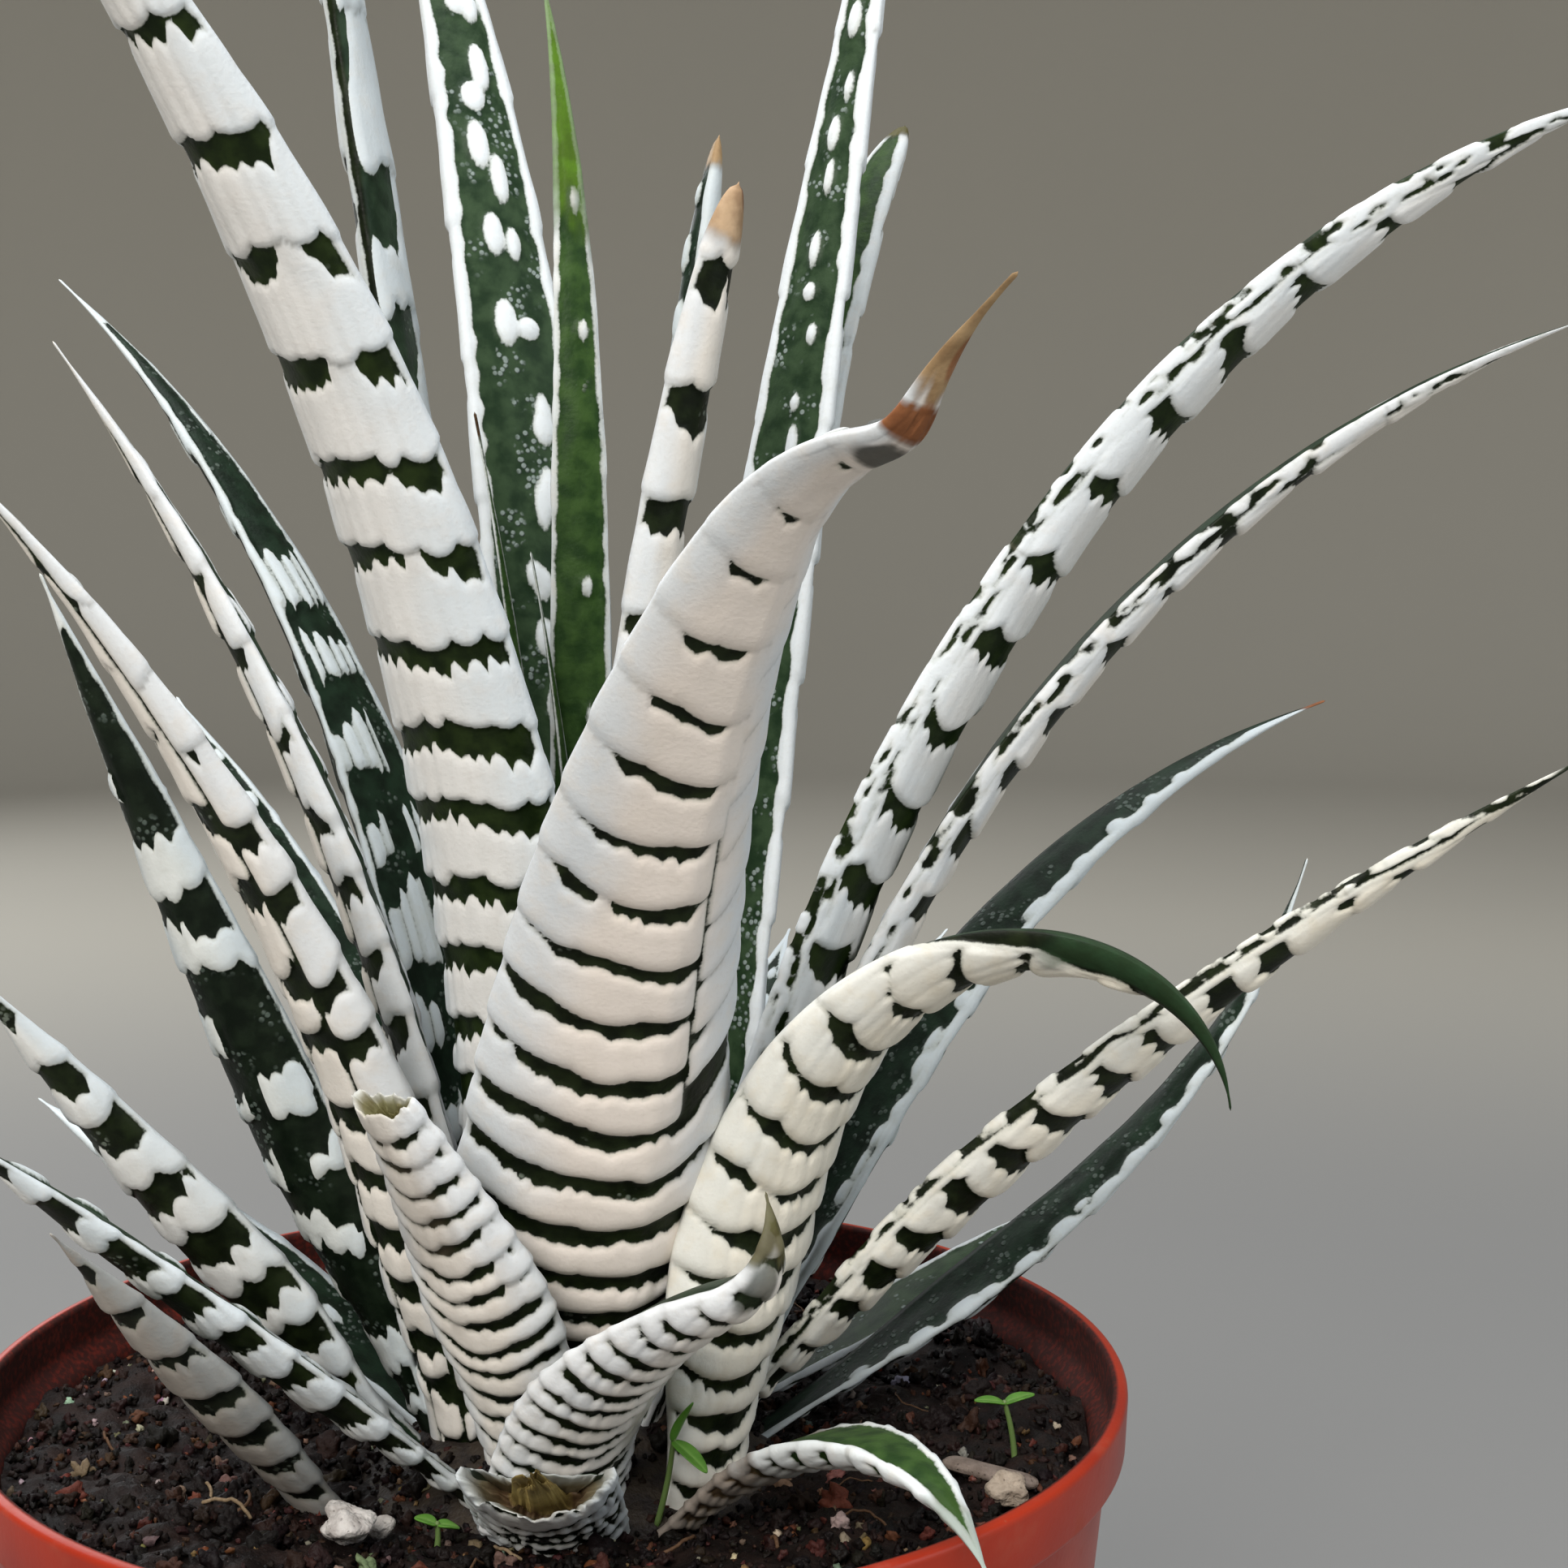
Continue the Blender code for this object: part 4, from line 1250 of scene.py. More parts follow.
        side = np.append(np.tile(np.where(self.outer, np.abs(self.x), 1.0), rings), [0.0, 0.0])
        body = Body()
        faces = closed_faces(rings, count)
        body.add(np.vstack([*stack, tip[None], base[None]]), faces, inner=inner, side=side, **joined)
        body.piece(leaf.name + "_fine", look.skin.value.material, "leaf", leaf.name)


TAN = (0.44, 0.30, 0.16)
RUST = (0.30, 0.12, 0.05)
OLIVE = (0.13, 0.12, 0.045)
BROWN = (0.10, 0.06, 0.03)
SOOT = (0.05, 0.055, 0.045)
LEAF_GREEN = (0.06, 0.15, 0.02)
DULL_GREEN = (0.030, 0.046, 0.022)
DEEP_GREEN = (0.035, 0.085, 0.035)
YOUNG_GREEN = (0.12, 0.26, 0.015)
DRY_PINK = (0.62, 0.48, 0.34)
DRY_TIP = (0.60, 0.42, 0.26)
DRY_BASE = (0.26, 0.17, 0.10)
STRAW = (0.46, 0.45, 0.24)
STUMP = (0.30, 0.23, 0.08)
PALE_RIM = (0.36, 0.35, 0.20)
DARK_RIM = (0.22, 0.21, 0.13)

EDGE_BLOBS = Ovals(spacing=3.2, rows=(-0.78,), length=2.6, width=1.2, scatter=0.16, start=0.1, rise=0.3)
PILLOWS = Banding(
    gap=1.75, gap_tip=0.25, lobe=6.5, sag=0.35, reach=0.45, dip=0.34, taper=0.0, bridged_tip=0.1,
    rise=0.85, rise_tip=0.15, roll=1.5, seam=0.02, wander=0.4, columns=(Column(0.5, 0.5, 0.55),),
    columns_from=0.28, columns_to=0.5, heart=-0.22, span=1.7, span_tip=-0.05)
ZEBRA = Banding(
    gap=2.5, lobe=2.4, sag=0.75, finger=1.2, reach=1.1, dip=-0.14, crown=0.8, bridged_tip=0.42, taper=0.1,
    roll=0.6, seam=0.22, wander=0.5)
SCALES = Banding(
    gap=1.5, gap_tip=1.3, lobe=5.4, sag=0.8, finger=1.4, reach=0.6, dip=0.25, taper=0.8, bridged_tip=0.25,
    rise=0.85, rise_tip=0.55, roll=1.4, columns_from=0.45, columns=(Column(0.62, -0.3, 0.3),))
WEDGES = Banding(
    gap=2.8, gap_tip=2.4, lobe=5.6, sag=1.5, finger=1.3, reach=1.0, bridged=0.05, bridged_tip=0.22,
    taper=0.6, wander=0.5, patch=4.0)
CLOSE_RINGS = Banding(
    gap=1.05, gap_tip=0.7, lobe=4.2, sag=0.4, finger=1.3, reach=0.4, dip=0.2, taper=0.5, bridged=0.02,
    bridged_tip=0.25, rise=0.6, columns=(Column(0.55, 0.4, 0.2),), columns_from=0.3)
TIGHT_SCALES = Banding(
    gap=0.9, gap_tip=0.5, lobe=3.6, sag=0.45, finger=1.3, reach=0.3, dip=0.3, bridged=0.1,
    bridged_tip=0.35, rise=0.55, patch=2.2)
TONGUES = Banding(
    gap=4.0, gap_tip=4.4, lobe=1.1, sag=0.9, finger=1.1, reach=1.5, cover=0.55, taper=0.0, bridged_tip=0.0,
    rise=0.32, split=0.1, wander=1.6)
COMBS = Banding(
    gap=4.2, gap_tip=4.8, lobe=1.4, sag=0.8, finger=1.2, reach=1.2, cover=0.48, taper=0.0, bridged_tip=0.0,
    rise=0.32, split=0.08, wander=1.0)
SPARSE = Banding(
    gap=3.2, gap_tip=3.8, lobe=2.2, sag=0.8, finger=1.4, reach=1.2, cover=0.62, taper=0.0, bridged_tip=0.1)
BOLD = Banding(
    gap=2.0, gap_tip=2.6, lobe=5.2, sag=1.1, finger=1.4, reach=0.8, dip=0.1, taper=0.5, bridged_tip=0.15,
    rise=0.6, roll=1.0)
SHADED = Banding(
    gap=3.4, gap_tip=3.8, lobe=2.2, sag=1.0, finger=1.4, reach=1.3, taper=0.0, cover=0.62, bridged_tip=0.0,
    wander=1.2, rise=0.4)
HANGING = Banding(
    gap=2.8, gap_tip=3.2, lobe=3.0, sag=1.2, finger=1.6, reach=1.2, taper=0.1, cover=0.85, bridged_tip=0.1,
    wander=0.8)
LONG_SCALES = Banding(
    gap_tip=2.2, lobe=4.6, sag=1.6, reach=1.0, dip=0.15, taper=0.2, wander=0.9, rise=0.6, roll=1.0,
    columns=(Column(-0.45, 0.35, 0.3), Column(0.5, -0.25, 0.2)))
BLOCKS = Banding(gap=2.8, gap_tip=3.2, lobe=2.4, sag=0.6, finger=1.2, reach=0.8, bridged_tip=0.2)
SLOTS = Banding(gap=6.2, gap_tip=7.0, lobe=1.8, sag=1.0, finger=1.4, reach=1.4, taper=0.1, wander=1.5)
PIMPLES = Banding(gap=2.2, gap_tip=3.6, lobe=2.4, sag=0.6, finger=1.3, reach=1.0, cover=0.8, taper=0.0)
WORN = Banding(gap=1.6, gap_tip=2.0, lobe=2.6, finger=1.4, reach=0.8, dip=0.15)
FINE_RINGS = Banding(gap=1.1, gap_tip=1.2, lobe=1.8, sag=0.45, finger=1.1, reach=0.6, dip=0.1)
STUB_RINGS = Banding(gap=1.5, gap_tip=1.6, lobe=2.0, sag=0.6, finger=1.1, reach=0.8, dip=0.4, bridged=0.2)

# The leaves at the back wear the shaded dark skin, which is painted shade for their place in the rosette's
# shadow.
BACK = Look(Skin.DARK, SPARSE, step=0.7)

LEAVES = (
    Leaf("leaf_01_broad_front", -91, 7.6, 104.5, 20.4, 20, 39.7, Look(
        Skin.FRONT, PILLOWS, margin=0.6, step=0.3, ridge=0.28, strand=0.5, stains=(
            Stain(SOOT, 0.875, 0.018, -0.1, 0.8, 0.9), Stain(TAN, 1.0, 0.105),
            Stain(RUST, 0.905, 0.014), Stain(RUST, 0.945, 0.016, 0.6, 0.8, 0.8))),
        curl=1.6, aim=289, sweep=29, swing=3, hook=55, flick=63, bands=23, spread=1.3, keel=0.3, base=0.45,
        full=1.9, fine=1.2),
    Leaf("leaf_02_snapped", 256, 11.8, 62, 13.0, 20, 27, Look(
        Skin.WARM, TIGHT_SCALES, step=0.28, ridge=0.2, scar=Scar(1.2, PALE_RIM, OLIVE, ragged=0.5),
        stains=(Stain(DRY_PINK, 0.45, 0.14, -0.3, 0.9, 0.3),)),
        aim=248, sweep=-22, spread=0.9, cut=0.42, fine=2.9),
    Leaf("leaf_03_drooping", -42, 14.4, 72, 13.5, 9, 164, Look(
        Skin.YELLOW, SCALES, margin=0.45, step=0.3, ovals=None, strips=Strips(3.2, start=0.6, frost=0.0),
        stains=(Stain(DEEP_GREEN, 0.93, 0.22, -0.8, 0.6, 0.8),)),
        curl=2.5, aim=322, sweep=25, roll=-18, bands=17),
    Leaf("leaf_04_claw", -89, 15.5, 36, 13.5, 14, 64, Look(
        Skin.WARM, CLOSE_RINGS, step=0.25, ridge=0.1, ovals=None, stains=(
            Stain(STRAW, 0.35, 0.3, 0.75, 0.45, 0.5), Stain(OLIVE, 1.0, 0.16, strength=0.95),
            Stain(DULL_GREEN, 0.84, 0.07, -0.5, 0.6, 0.8))),
        curl=0.8, aim=302, sweep=30, hook=-92, bands=17, base=0.85),
    Leaf("leaf_05_long_right", -24, 6.8, 128, 11.4, 18, 54, Look(
        Skin.FRESH, WEDGES, margin=0.45, strips=Strips(1.5, frost=1.7), step=0.28, ovals=None),
        curl=2.0, aim=357, sweep=4, roll=-15, bands=20, base=0.42, full=4.2),
    Leaf("leaf_06_arched_right", -4, 9.8, 112, 8.0, 16, 55, Look(
        Skin.WARM, WEDGES, margin=0.45, strips=Strips(1.3, frost=1.8), step=0.28, ovals=None),
        curl=1.5, aim=356, sweep=4, roll=-5, bands=20, base=0.5, full=3.2),
    Leaf("leaf_07_dark_right", 18, 12.3, 78, 8.0, 25, 46, Look(
        Skin.DARK, COMBS, ovals=EDGE_BLOBS, strips=Strips(right=0.5, frost=0.0),
        stains=(Stain(RUST, 1.0, 0.03),)),
        curl=1.6, aim=22, sweep=-12, roll=26, bands=12),
    Leaf("leaf_08_low_right", -9, 11.6, 84, 9.0, 40, 18, Look(
        Skin.YELLOW, BOLD, margin=0.4, strips=Strips(1.0, frost=0.7), step=0.28,
        stains=(Stain(DULL_GREEN, 1.0, 0.05),)),
        aim=343, roll=-25, bands=18),
    Leaf("leaf_09_low_dark", 11, 15.3, 64, 5.8, 57, -41, Look(
        Skin.DARK, COMBS, ovals=EDGE_BLOBS, margin=0.3, strips=Strips(right=0.5, frost=0.0)),
        curl=2.0, aim=5, roll=25, bands=10),
    Leaf("leaf_10_short_right", 32, 15.0, 36, 8.0, 64, 9, Look(Skin.GREEN, COMBS, ovals=None, margin=0.3),
        aim=10, sweep=34, bands=6),
    Leaf("leaf_11_tall_right", 34, 8.6, 143, 9.5, 12, 3, Look(
        Skin.GREEN, ZEBRA, ovals=Ovals(spacing=5.4, rows=(-0.15,)), margin=0.7),
        aim=57, sweep=-10, full=2.6),
    Leaf("leaf_12_blunt_back", 62, 11.4, 112, 6.5, 14.5, 26, Look(
        Skin.BRIGHT, SPARSE, ovals=Ovals(spacing=16.0), margin=0.6, stains=(Stain(OLIVE, 1.0, 0.02),)),
        curl=5.0, aim=53, bands=10, full=8.0, fine=0.5),
    Leaf("leaf_13_slim_front", -48, 2.6, 92.5, 5.3, -1, 18, Look(
        Skin.WARM, BLOCKS, step=0.32, margin=0.3, stains=(
            Stain(DRY_TIP, 1.0, 0.055), Stain(RUST, 0.995, 0.02, 0.7, 0.6))),
        aim=330, bands=12, full=7.0, fine=0.4),
    Leaf("leaf_14_slim_back", 25, 3.8, 97, 4.4, -0.5, 10.5, Look(
        Skin.DARK, SPARSE, margin=0.3, stains=(Stain(TAN, 1.0, 0.03),)),
        aim=16, bands=8, full=9.0, fine=0.5),
    Leaf("leaf_15_tall_left", 95, 5.5, 148, 10.2, 1.4, 33, Look(
        Skin.GREEN, ZEBRA, margin=0.75,
        ovals=Ovals(spacing=6.6, rows=(-0.1, -0.1), length=3.6, width=1.8, scatter=0.3)),
        curl=1.3, aim=120.6, full=3.2),
    Leaf("leaf_16_narrow_green", 75, 2.0, 112, 4.8, -0.8, 25.7, Look(
        Skin.BRIGHT, COMBS, ovals=Ovals(spacing=15.0, length=1.8, width=0.8), margin=0.28,
        stains=(Stain(YOUNG_GREEN, 0.95, 0.17, strength=0.85),)),
        curl=3.2, aim=68, sweep=50, bands=8, full=3.6),
    Leaf("leaf_17_thread_left", 185, 2.1, 76, 2.4, -1, 16, Look(
        Skin.BRIGHT, COMBS, ovals=None, margin=0.1, stains=(Stain(BROWN, 1.0, 0.03),)),
        curl=1.4, aim=140, bands=5),
    Leaf("leaf_18_thread_right", 255, 2.2, 65, 2.4, -4, 16, Look(
        Skin.BRIGHT, COMBS, ovals=None, margin=0.1), curl=1.5, aim=155, bands=5),
    Leaf("leaf_19_slim_left", 150, 5.5, 128, 5.4, 6, 4, Look(
        Skin.COOL, SLOTS, inner=SLOTS, ovals=None, margin=0.45, strips=Strips(right=0.8, frost=0.0)),
        aim=158, bands=12, full=8.0, fine=0.8),
    Leaf("leaf_20_great_left", 236, 4.8, 128, 12.2, 0, 44, Look(
        Skin.FRESH, ZEBRA, step=0.3, margin=0.4),
        curl=0.9, aim=250, sweep=-28, bands=22, spread=1.5, base=0.45, full=3.6, fine=0.9),
    Leaf("leaf_21_mottled_left", 150, 9.2, 106, 9.0, 3, 51, Look(
        Skin.DARK, TONGUES, inner=TONGUES, ovals=None, margin=0.3), aim=137, sweep=12),
    Leaf("leaf_22_pale_left", 183, 8.2, 88, 9.0, 2, 32, Look(
        Skin.WARM, LONG_SCALES, inner=TONGUES, ovals=None), curl=0.8, aim=190, bands=15),
    Leaf("leaf_23_patched_left", 209, 10.5, 84, 10.0, 14, 28, Look(
        Skin.WARM, LONG_SCALES, step=0.32, margin=0.45), curl=1.2, aim=235, sweep=-25, bands=15),
    Leaf("leaf_24_shaded_left", 184, 12.2, 72, 9.0, 23, -2, Look(Skin.DARK, SHADED, margin=0.3),
        aim=199, sweep=8, roll=42, bands=12),
    Leaf("leaf_25_spread_left", 203, 13.5, 52, 9.0, 40, -4, Look(Skin.COOL, HANGING, margin=0.3),
        aim=194, sweep=24, roll=35, bands=10),
    Leaf("leaf_26_pimpled_left", 236, 14.4, 50, 9.0, 47, 2, Look(
        Skin.COOL, PIMPLES, step=0.3, margin=0.25), aim=208, sweep=12, bands=10),
    Leaf("leaf_27_grey_left", 212, 21.6, 38, 8.0, 40, 4, Look(
        Skin.GREY, WORN, step=0.3, margin=0.3), aim=238, sweep=4, bands=8, height=72.6),
    Leaf("leaf_28_over_the_rim", -57, 16.6, 38, 7.5, 46, 76, Look(
        Skin.BRIGHT, FINE_RINGS, ovals=None, margin=0.45, step=0.26, stains=(
            Stain(DRY_BASE, 0.0, 0.42, strength=0.8), Stain(LEAF_GREEN, 1.0, 0.2, strength=0.6))),
        curl=1.5, aim=322, sweep=-31),
    Leaf("leaf_29_cut_stub", -93, 16.6, 31, 12.0, 44, 20, Look(
        Skin.COOL, STUB_RINGS, step=0.2,
        scar=Scar(3.4, DARK_RIM, BROWN, ragged=1.6, stump=5.6, stump_colour=STUMP)),
        aim=268, cut=0.68, bands=6, base=0.9),
    Leaf("leaf_30_back_right", 50, 13.5, 46, 10.0, 28, 25, BACK, aim=42, bands=9),
    Leaf("leaf_31_back", 90, 12.0, 76, 10.5, 30, 22, BACK, bands=12),
    Leaf("leaf_32_back_left", 132, 12.5, 74, 10.5, 32, 22, BACK, bands=12),
    Leaf("leaf_33_inner_back", 112, 8.8, 68, 9.0, 14, 18, BACK, aim=100, bands=11),
    Leaf("leaf_34_low_back", 70, 16.0, 56, 9.5, 46, 20, BACK, aim=76, bands=9),
    Leaf("leaf_35_low_back_left", 108, 16.0, 54, 9.5, 48, 20, BACK, bands=9),
    Leaf("leaf_36_low_left", 158, 14.5, 46, 9.0, 60, 6, BACK, aim=152, bands=9),
)


@dataclass(frozen=True)
class StemFlesh:
    """The stem's dry, scarred flesh, its tones darkened nearly to black, partly its own colour and partly
    painted shade for the deep shade under the leaves.
    """

    # Both tones are partly the stem's own colour and partly painted shade for the deep shade under the
    # rosette.
    pale: Colour = (0.032, 0.022, 0.013)
    dark: Colour = (0.010, 0.006, 0.005)

    @property
    def material(self) -> Material:
        """The stem's material.

        Returns:
            The material.
        """
        graph = Graph("stem_flesh")
        mottle = graph.noise(1.8, 4.0)
        colour = graph.mix(mottle.up(0.35, 0.65), self.dark, self.pale)
        return graph.finish(colour, mottle * 0.2 + 0.6, mottle + graph.noise(0.4), 0.2)


@dataclass(frozen=True)
class PotPlastic:
    """Moulded plastic with a soft gloss, a little dust on it, faint water marks, and an inner wall darkened
    nearly to black, partly soil stain and partly painted shade.
    """

    colour: Colour = (0.40, 0.031, 0.010)
    shade: Colour = (0.31, 0.021, 0.008)
    dust: Colour = (0.42, 0.16, 0.10)
    # Partly soil stain, partly painted shade: the near-black of the inner wall.
    soil_stain_and_shade: Colour = (0.026, 0.005, 0.003)

    @property
    def material(self) -> Material:
        """The pot's material.

        Returns:
            The material.
        """
        graph = Graph("pot_plastic")
        clouds, fine = graph.noise(14.0, 3.0), graph.noise(0.5, 3.0)
        marks = graph.noise(5.0, 4.0, 0.6).up(0.56, 0.70)
        height = graph.node("ShaderNodeSeparateXYZ", None, {"Vector": graph.place}).outputs["Z"]
        rim = Value(graph, height).up(0.066, 0.080)
        specks = graph.cells(1.7).down(0.03, 0.09)
        colour = graph.mix(clouds.up(0.35, 0.70), self.colour, self.shade)
        colour = graph.mix(marks * (rim * 0.5 + 0.5) * 0.16, colour, self.dust)
        colour = graph.mix(specks * rim * 0.30, colour, self.dust)
        # Painted shade: the inner wall is mixed nearly to black, partly soil stain and partly the deep
        # shade inside the pot.
        inside = graph.attribute("inside")
        colour = graph.mix(inside * (fine.up(0.25, 0.60) * 0.25 + 0.72), colour, self.soil_stain_and_shade)
        roughness = clouds * 0.12 + marks * 0.14 + inside * 0.5 + 0.30
        graph.set(Specular_IOR_Level=0.32)
        return graph.finish(colour, roughness, fine * 0.6 + clouds * 0.4, 0.03)


@dataclass(frozen=True)
class Compost:
    """Moist dark compost, whose grains carry their own colour in "tint"."""

    wet: Colour = (0.005, 0.003, 0.0025)
    dry: Colour = (0.017, 0.009, 0.007)
    fleck: Colour = (0.32, 0.22, 0.20)
    shadow: Colour = (0.45, 0.42, 0.40)

    @property
    def material(self) -> Material:
        """The compost's material.

        Returns:
            The material.
        """
        graph = Graph("compost")
        coarse, fine = graph.noise(2.2, 4.0), graph.noise(0.30, 3.0)
        colour = graph.mix(coarse.up(0.35, 0.70), self.wet, self.dry)
        flecks = graph.cells(0.55).down(0.06, 0.13) * fine.up(0.50, 0.62) * 0.5
        colour = graph.mix(flecks, colour, self.fleck)
        grain, share = graph.tint()
        grain = graph.mix(fine.up(0.3, 0.7) * 0.5, grain, self.shadow, "MULTIPLY")
        colour = graph.mix(share, colour, grain)
        roughness = coarse * 0.45 + 0.38
        graph.set(Specular_IOR_Level=0.18)
        return graph.finish(colour, roughness, coarse + fine * 0.6, 0.22)


@dataclass(frozen=True)
class Mineral:
    """The rough, pitted skin of a grain."""

    name: str
    pale: Colour
    dark: Colour

    @property
    def material(self) -> Material:
        """The grain's material.

        Returns:
            The material.
        """
        graph = Graph(self.name)
        clouds, fine = graph.noise(1.1, 4.0), graph.noise(0.22, 3.0)
        pits = graph.cells(0.45).down(0.06, 0.22)
        colour = graph.mix(clouds.up(0.35, 0.72) * 0.6 + pits * 0.3, self.pale, self.dark)
        return graph.finish(colour, fine * 0.2 + 0.72, clouds + fine * 0.5 - pits * 0.6, 0.16)


@dataclass(frozen=True)
class SeedlingSkin:
    """The bright soft green of a seedling."""

    leaf: Colour = (0.075, 0.22, 0.02)
    light: Colour = (0.11, 0.28, 0.035)
    vein: Colour = (0.30, 0.52, 0.14)
    stalk: Colour = (0.13, 0.21, 0.06)

    @property
    def material(self) -> Material:
        """The seedlings' material.

        Returns:
            The material.
        """
        graph = Graph("seedling_green")
        clouds = graph.noise(1.2, 3.0)
        colour = graph.mix(clouds.up(0.30, 0.70), self.leaf, self.light)
        stalk = graph.attribute("stalk")
        vein = graph.attribute("vein")
        colour = graph.mix(vein * 0.4, colour, self.vein)
        colour = graph.mix(stalk, colour, self.stalk)
        graph.set(Subsurface_Weight=0.15, Subsurface_Radius=(0.0006, 0.0012, 0.0003))
        return graph.finish(colour, clouds * 0.15 + 0.38, clouds + graph.noise(0.2), 0.03)


@dataclass(frozen=True)
class Pot:
    """The nursery pot, in millimetres: a turned shell with a flared lip, a foot ring and drain holes."""

    height: float = 80.0
    rim: float = 45.0
    wall: float = 1.2
    lip: float = 5.0
    step: float = 1.5
    foot: float = 36.0
    foot_ring: float = 6.0
    foot_lift: float = 1.5
    boss: float = 15.0
    holes: int = 8
    hole_radius: float = 3.0
    sides: int = 200
    smooth_below: float = 50.0  # degrees

    ARC = (0.0, 0.25, 0.5, 0.75, 1.0)
    MIDDLE = 0.02  # radius of the rings that close the profile at the axis

    def radius(self, height: float) -> float:
        """The outer radius below the lip."""
        return self.foot + (self.rim - self.step - self.foot) * height / (self.height - self.lip)

    def profile(self) -> list[tuple[float, float, float]]:
        """The corners of the profile.

        Returns:
            The radius, height and rounding of each, from the floor's middle inside to outside.
        """
        floor, ring = self.wall + self.foot_lift, self.foot - self.foot_ring
        lip_foot, inner = self.height - self.lip, self.rim - self.wall
        return [
            (self.boss - self.wall, self.wall, 0.3), (self.boss, floor, 0.3), (ring, floor, 0.3),
            (ring + self.wall, self.wall, 0.3), (self.radius(self.wall) - self.wall, self.wall, 0.8),
            (self.radius(lip_foot) - self.wall, lip_foot, 0.8), (inner, lip_foot + self.step, 0.6),
            (inner, self.height, 0.5), (self.rim, self.height - 0.05, 0.6),
            (self.rim - 0.2, lip_foot + 0.35, 0.35), (self.radius(lip_foot) + 0.35, lip_foot, 0.2),
            (self.radius(lip_foot - 0.5), lip_foot - 0.6, 0.3), (self.radius(0.0), 0.0, 1.0),
            (ring + self.wall, 0.0, 0.3), (ring, self.foot_lift, 0.3), (self.boss, self.foot_lift, 0.3),
            (self.boss - self.wall, 0.0, 0.3),
        ]

    def rounded(self) -> list[tuple[float, float]]:
        """The profile with an arc in each corner.

        Returns:
            The radius and height of each point.
        """
        corners = self.profile()
        points = [Vector((r, z)) for r, z, _ in corners]
        made = [(self.MIDDLE, self.wall)]
        before = [Vector((0.0, self.wall)), *points[:-1]]
        after = [*points[1:], Vector((0.0, 0.0))]
        for (_, _, size), back, here, ahead in zip(corners, before, points, after):
            into, out = (back - here), (ahead - here)
            reach = min(size, 0.45 * into.length, 0.45 * out.length)
            start, end = here + into.normalized() * reach, here + out.normalized() * reach
            for share in self.ARC:
                bent = start * (1 - share) ** 2 + here * 2 * share * (1 - share) + end * share ** 2
                made.append((bent.x, bent.y))
        return [*made, (self.MIDDLE, 0.0)]

    def build(self) -> None:
        """Turns the pot and bores its drain holes."""
        profile = self.rounded()
        points = np.vstack([*turned_rings(profile, self.sides), [[0, 0, 0]], [[0, 0, self.wall]]])
        radii, heights = np.array(profile).T
        first_half = np.arange(len(profile)) < len(profile) / 2
        inside = first_half & (heights > 0.5) & (radii < self.rim - 0.7 * self.wall)
        body = Body()
        body.add(points, closed_faces(len(profile), self.sides),
                 inside=np.append(np.repeat(inside, self.sides), [False, True]))
        pot = body.piece("pot_fine", PotPlastic().material, "pot_plastic", "pot")
        self.bore(pot)
        pot.data.shade_smooth()
        pot.data.set_sharp_from_angle(angle=radians(self.smooth_below))

    def bore(self, pot: bpy.types.Object) -> None:
        """Bores the ring of drain holes through the floor.

        Args:
            pot: The pot without them.
        """
        ring = (self.boss + self.foot - self.foot_ring) / 2
        rods = bmesh.new()
        for index in range(self.holes):
            angle = 2 * pi * (index + 0.5) / self.holes
            matrix = Matrix.Translation(Vector((ring * cos(angle), ring * sin(angle), self.foot_lift)) * MM)
            bmesh.ops.create_cone(rods, cap_ends=True, segments=32, radius1=self.hole_radius * MM,
                                  radius2=self.hole_radius * MM, depth=8 * MM, matrix=matrix)
        mesh = bpy.data.meshes.new("drain_rods")
        rods.to_mesh(mesh)
        rods.free()
        cutter = bpy.data.objects.new("drain_rods", mesh)
        bpy.context.scene.collection.objects.link(cutter)
        cut = pot.modifiers.new("Drain holes", "BOOLEAN")
        cut.operation, cut.solver, cut.object = "DIFFERENCE", "EXACT", cutter
        evaluated = pot.evaluated_get(bpy.context.evaluated_depsgraph_get())
        bored = bpy.data.meshes.new_from_object(evaluated)
        pot.modifiers.clear()
        pot.data = bored
        bpy.data.objects.remove(cutter)


POT = Pot()
COMPOST = Compost().material


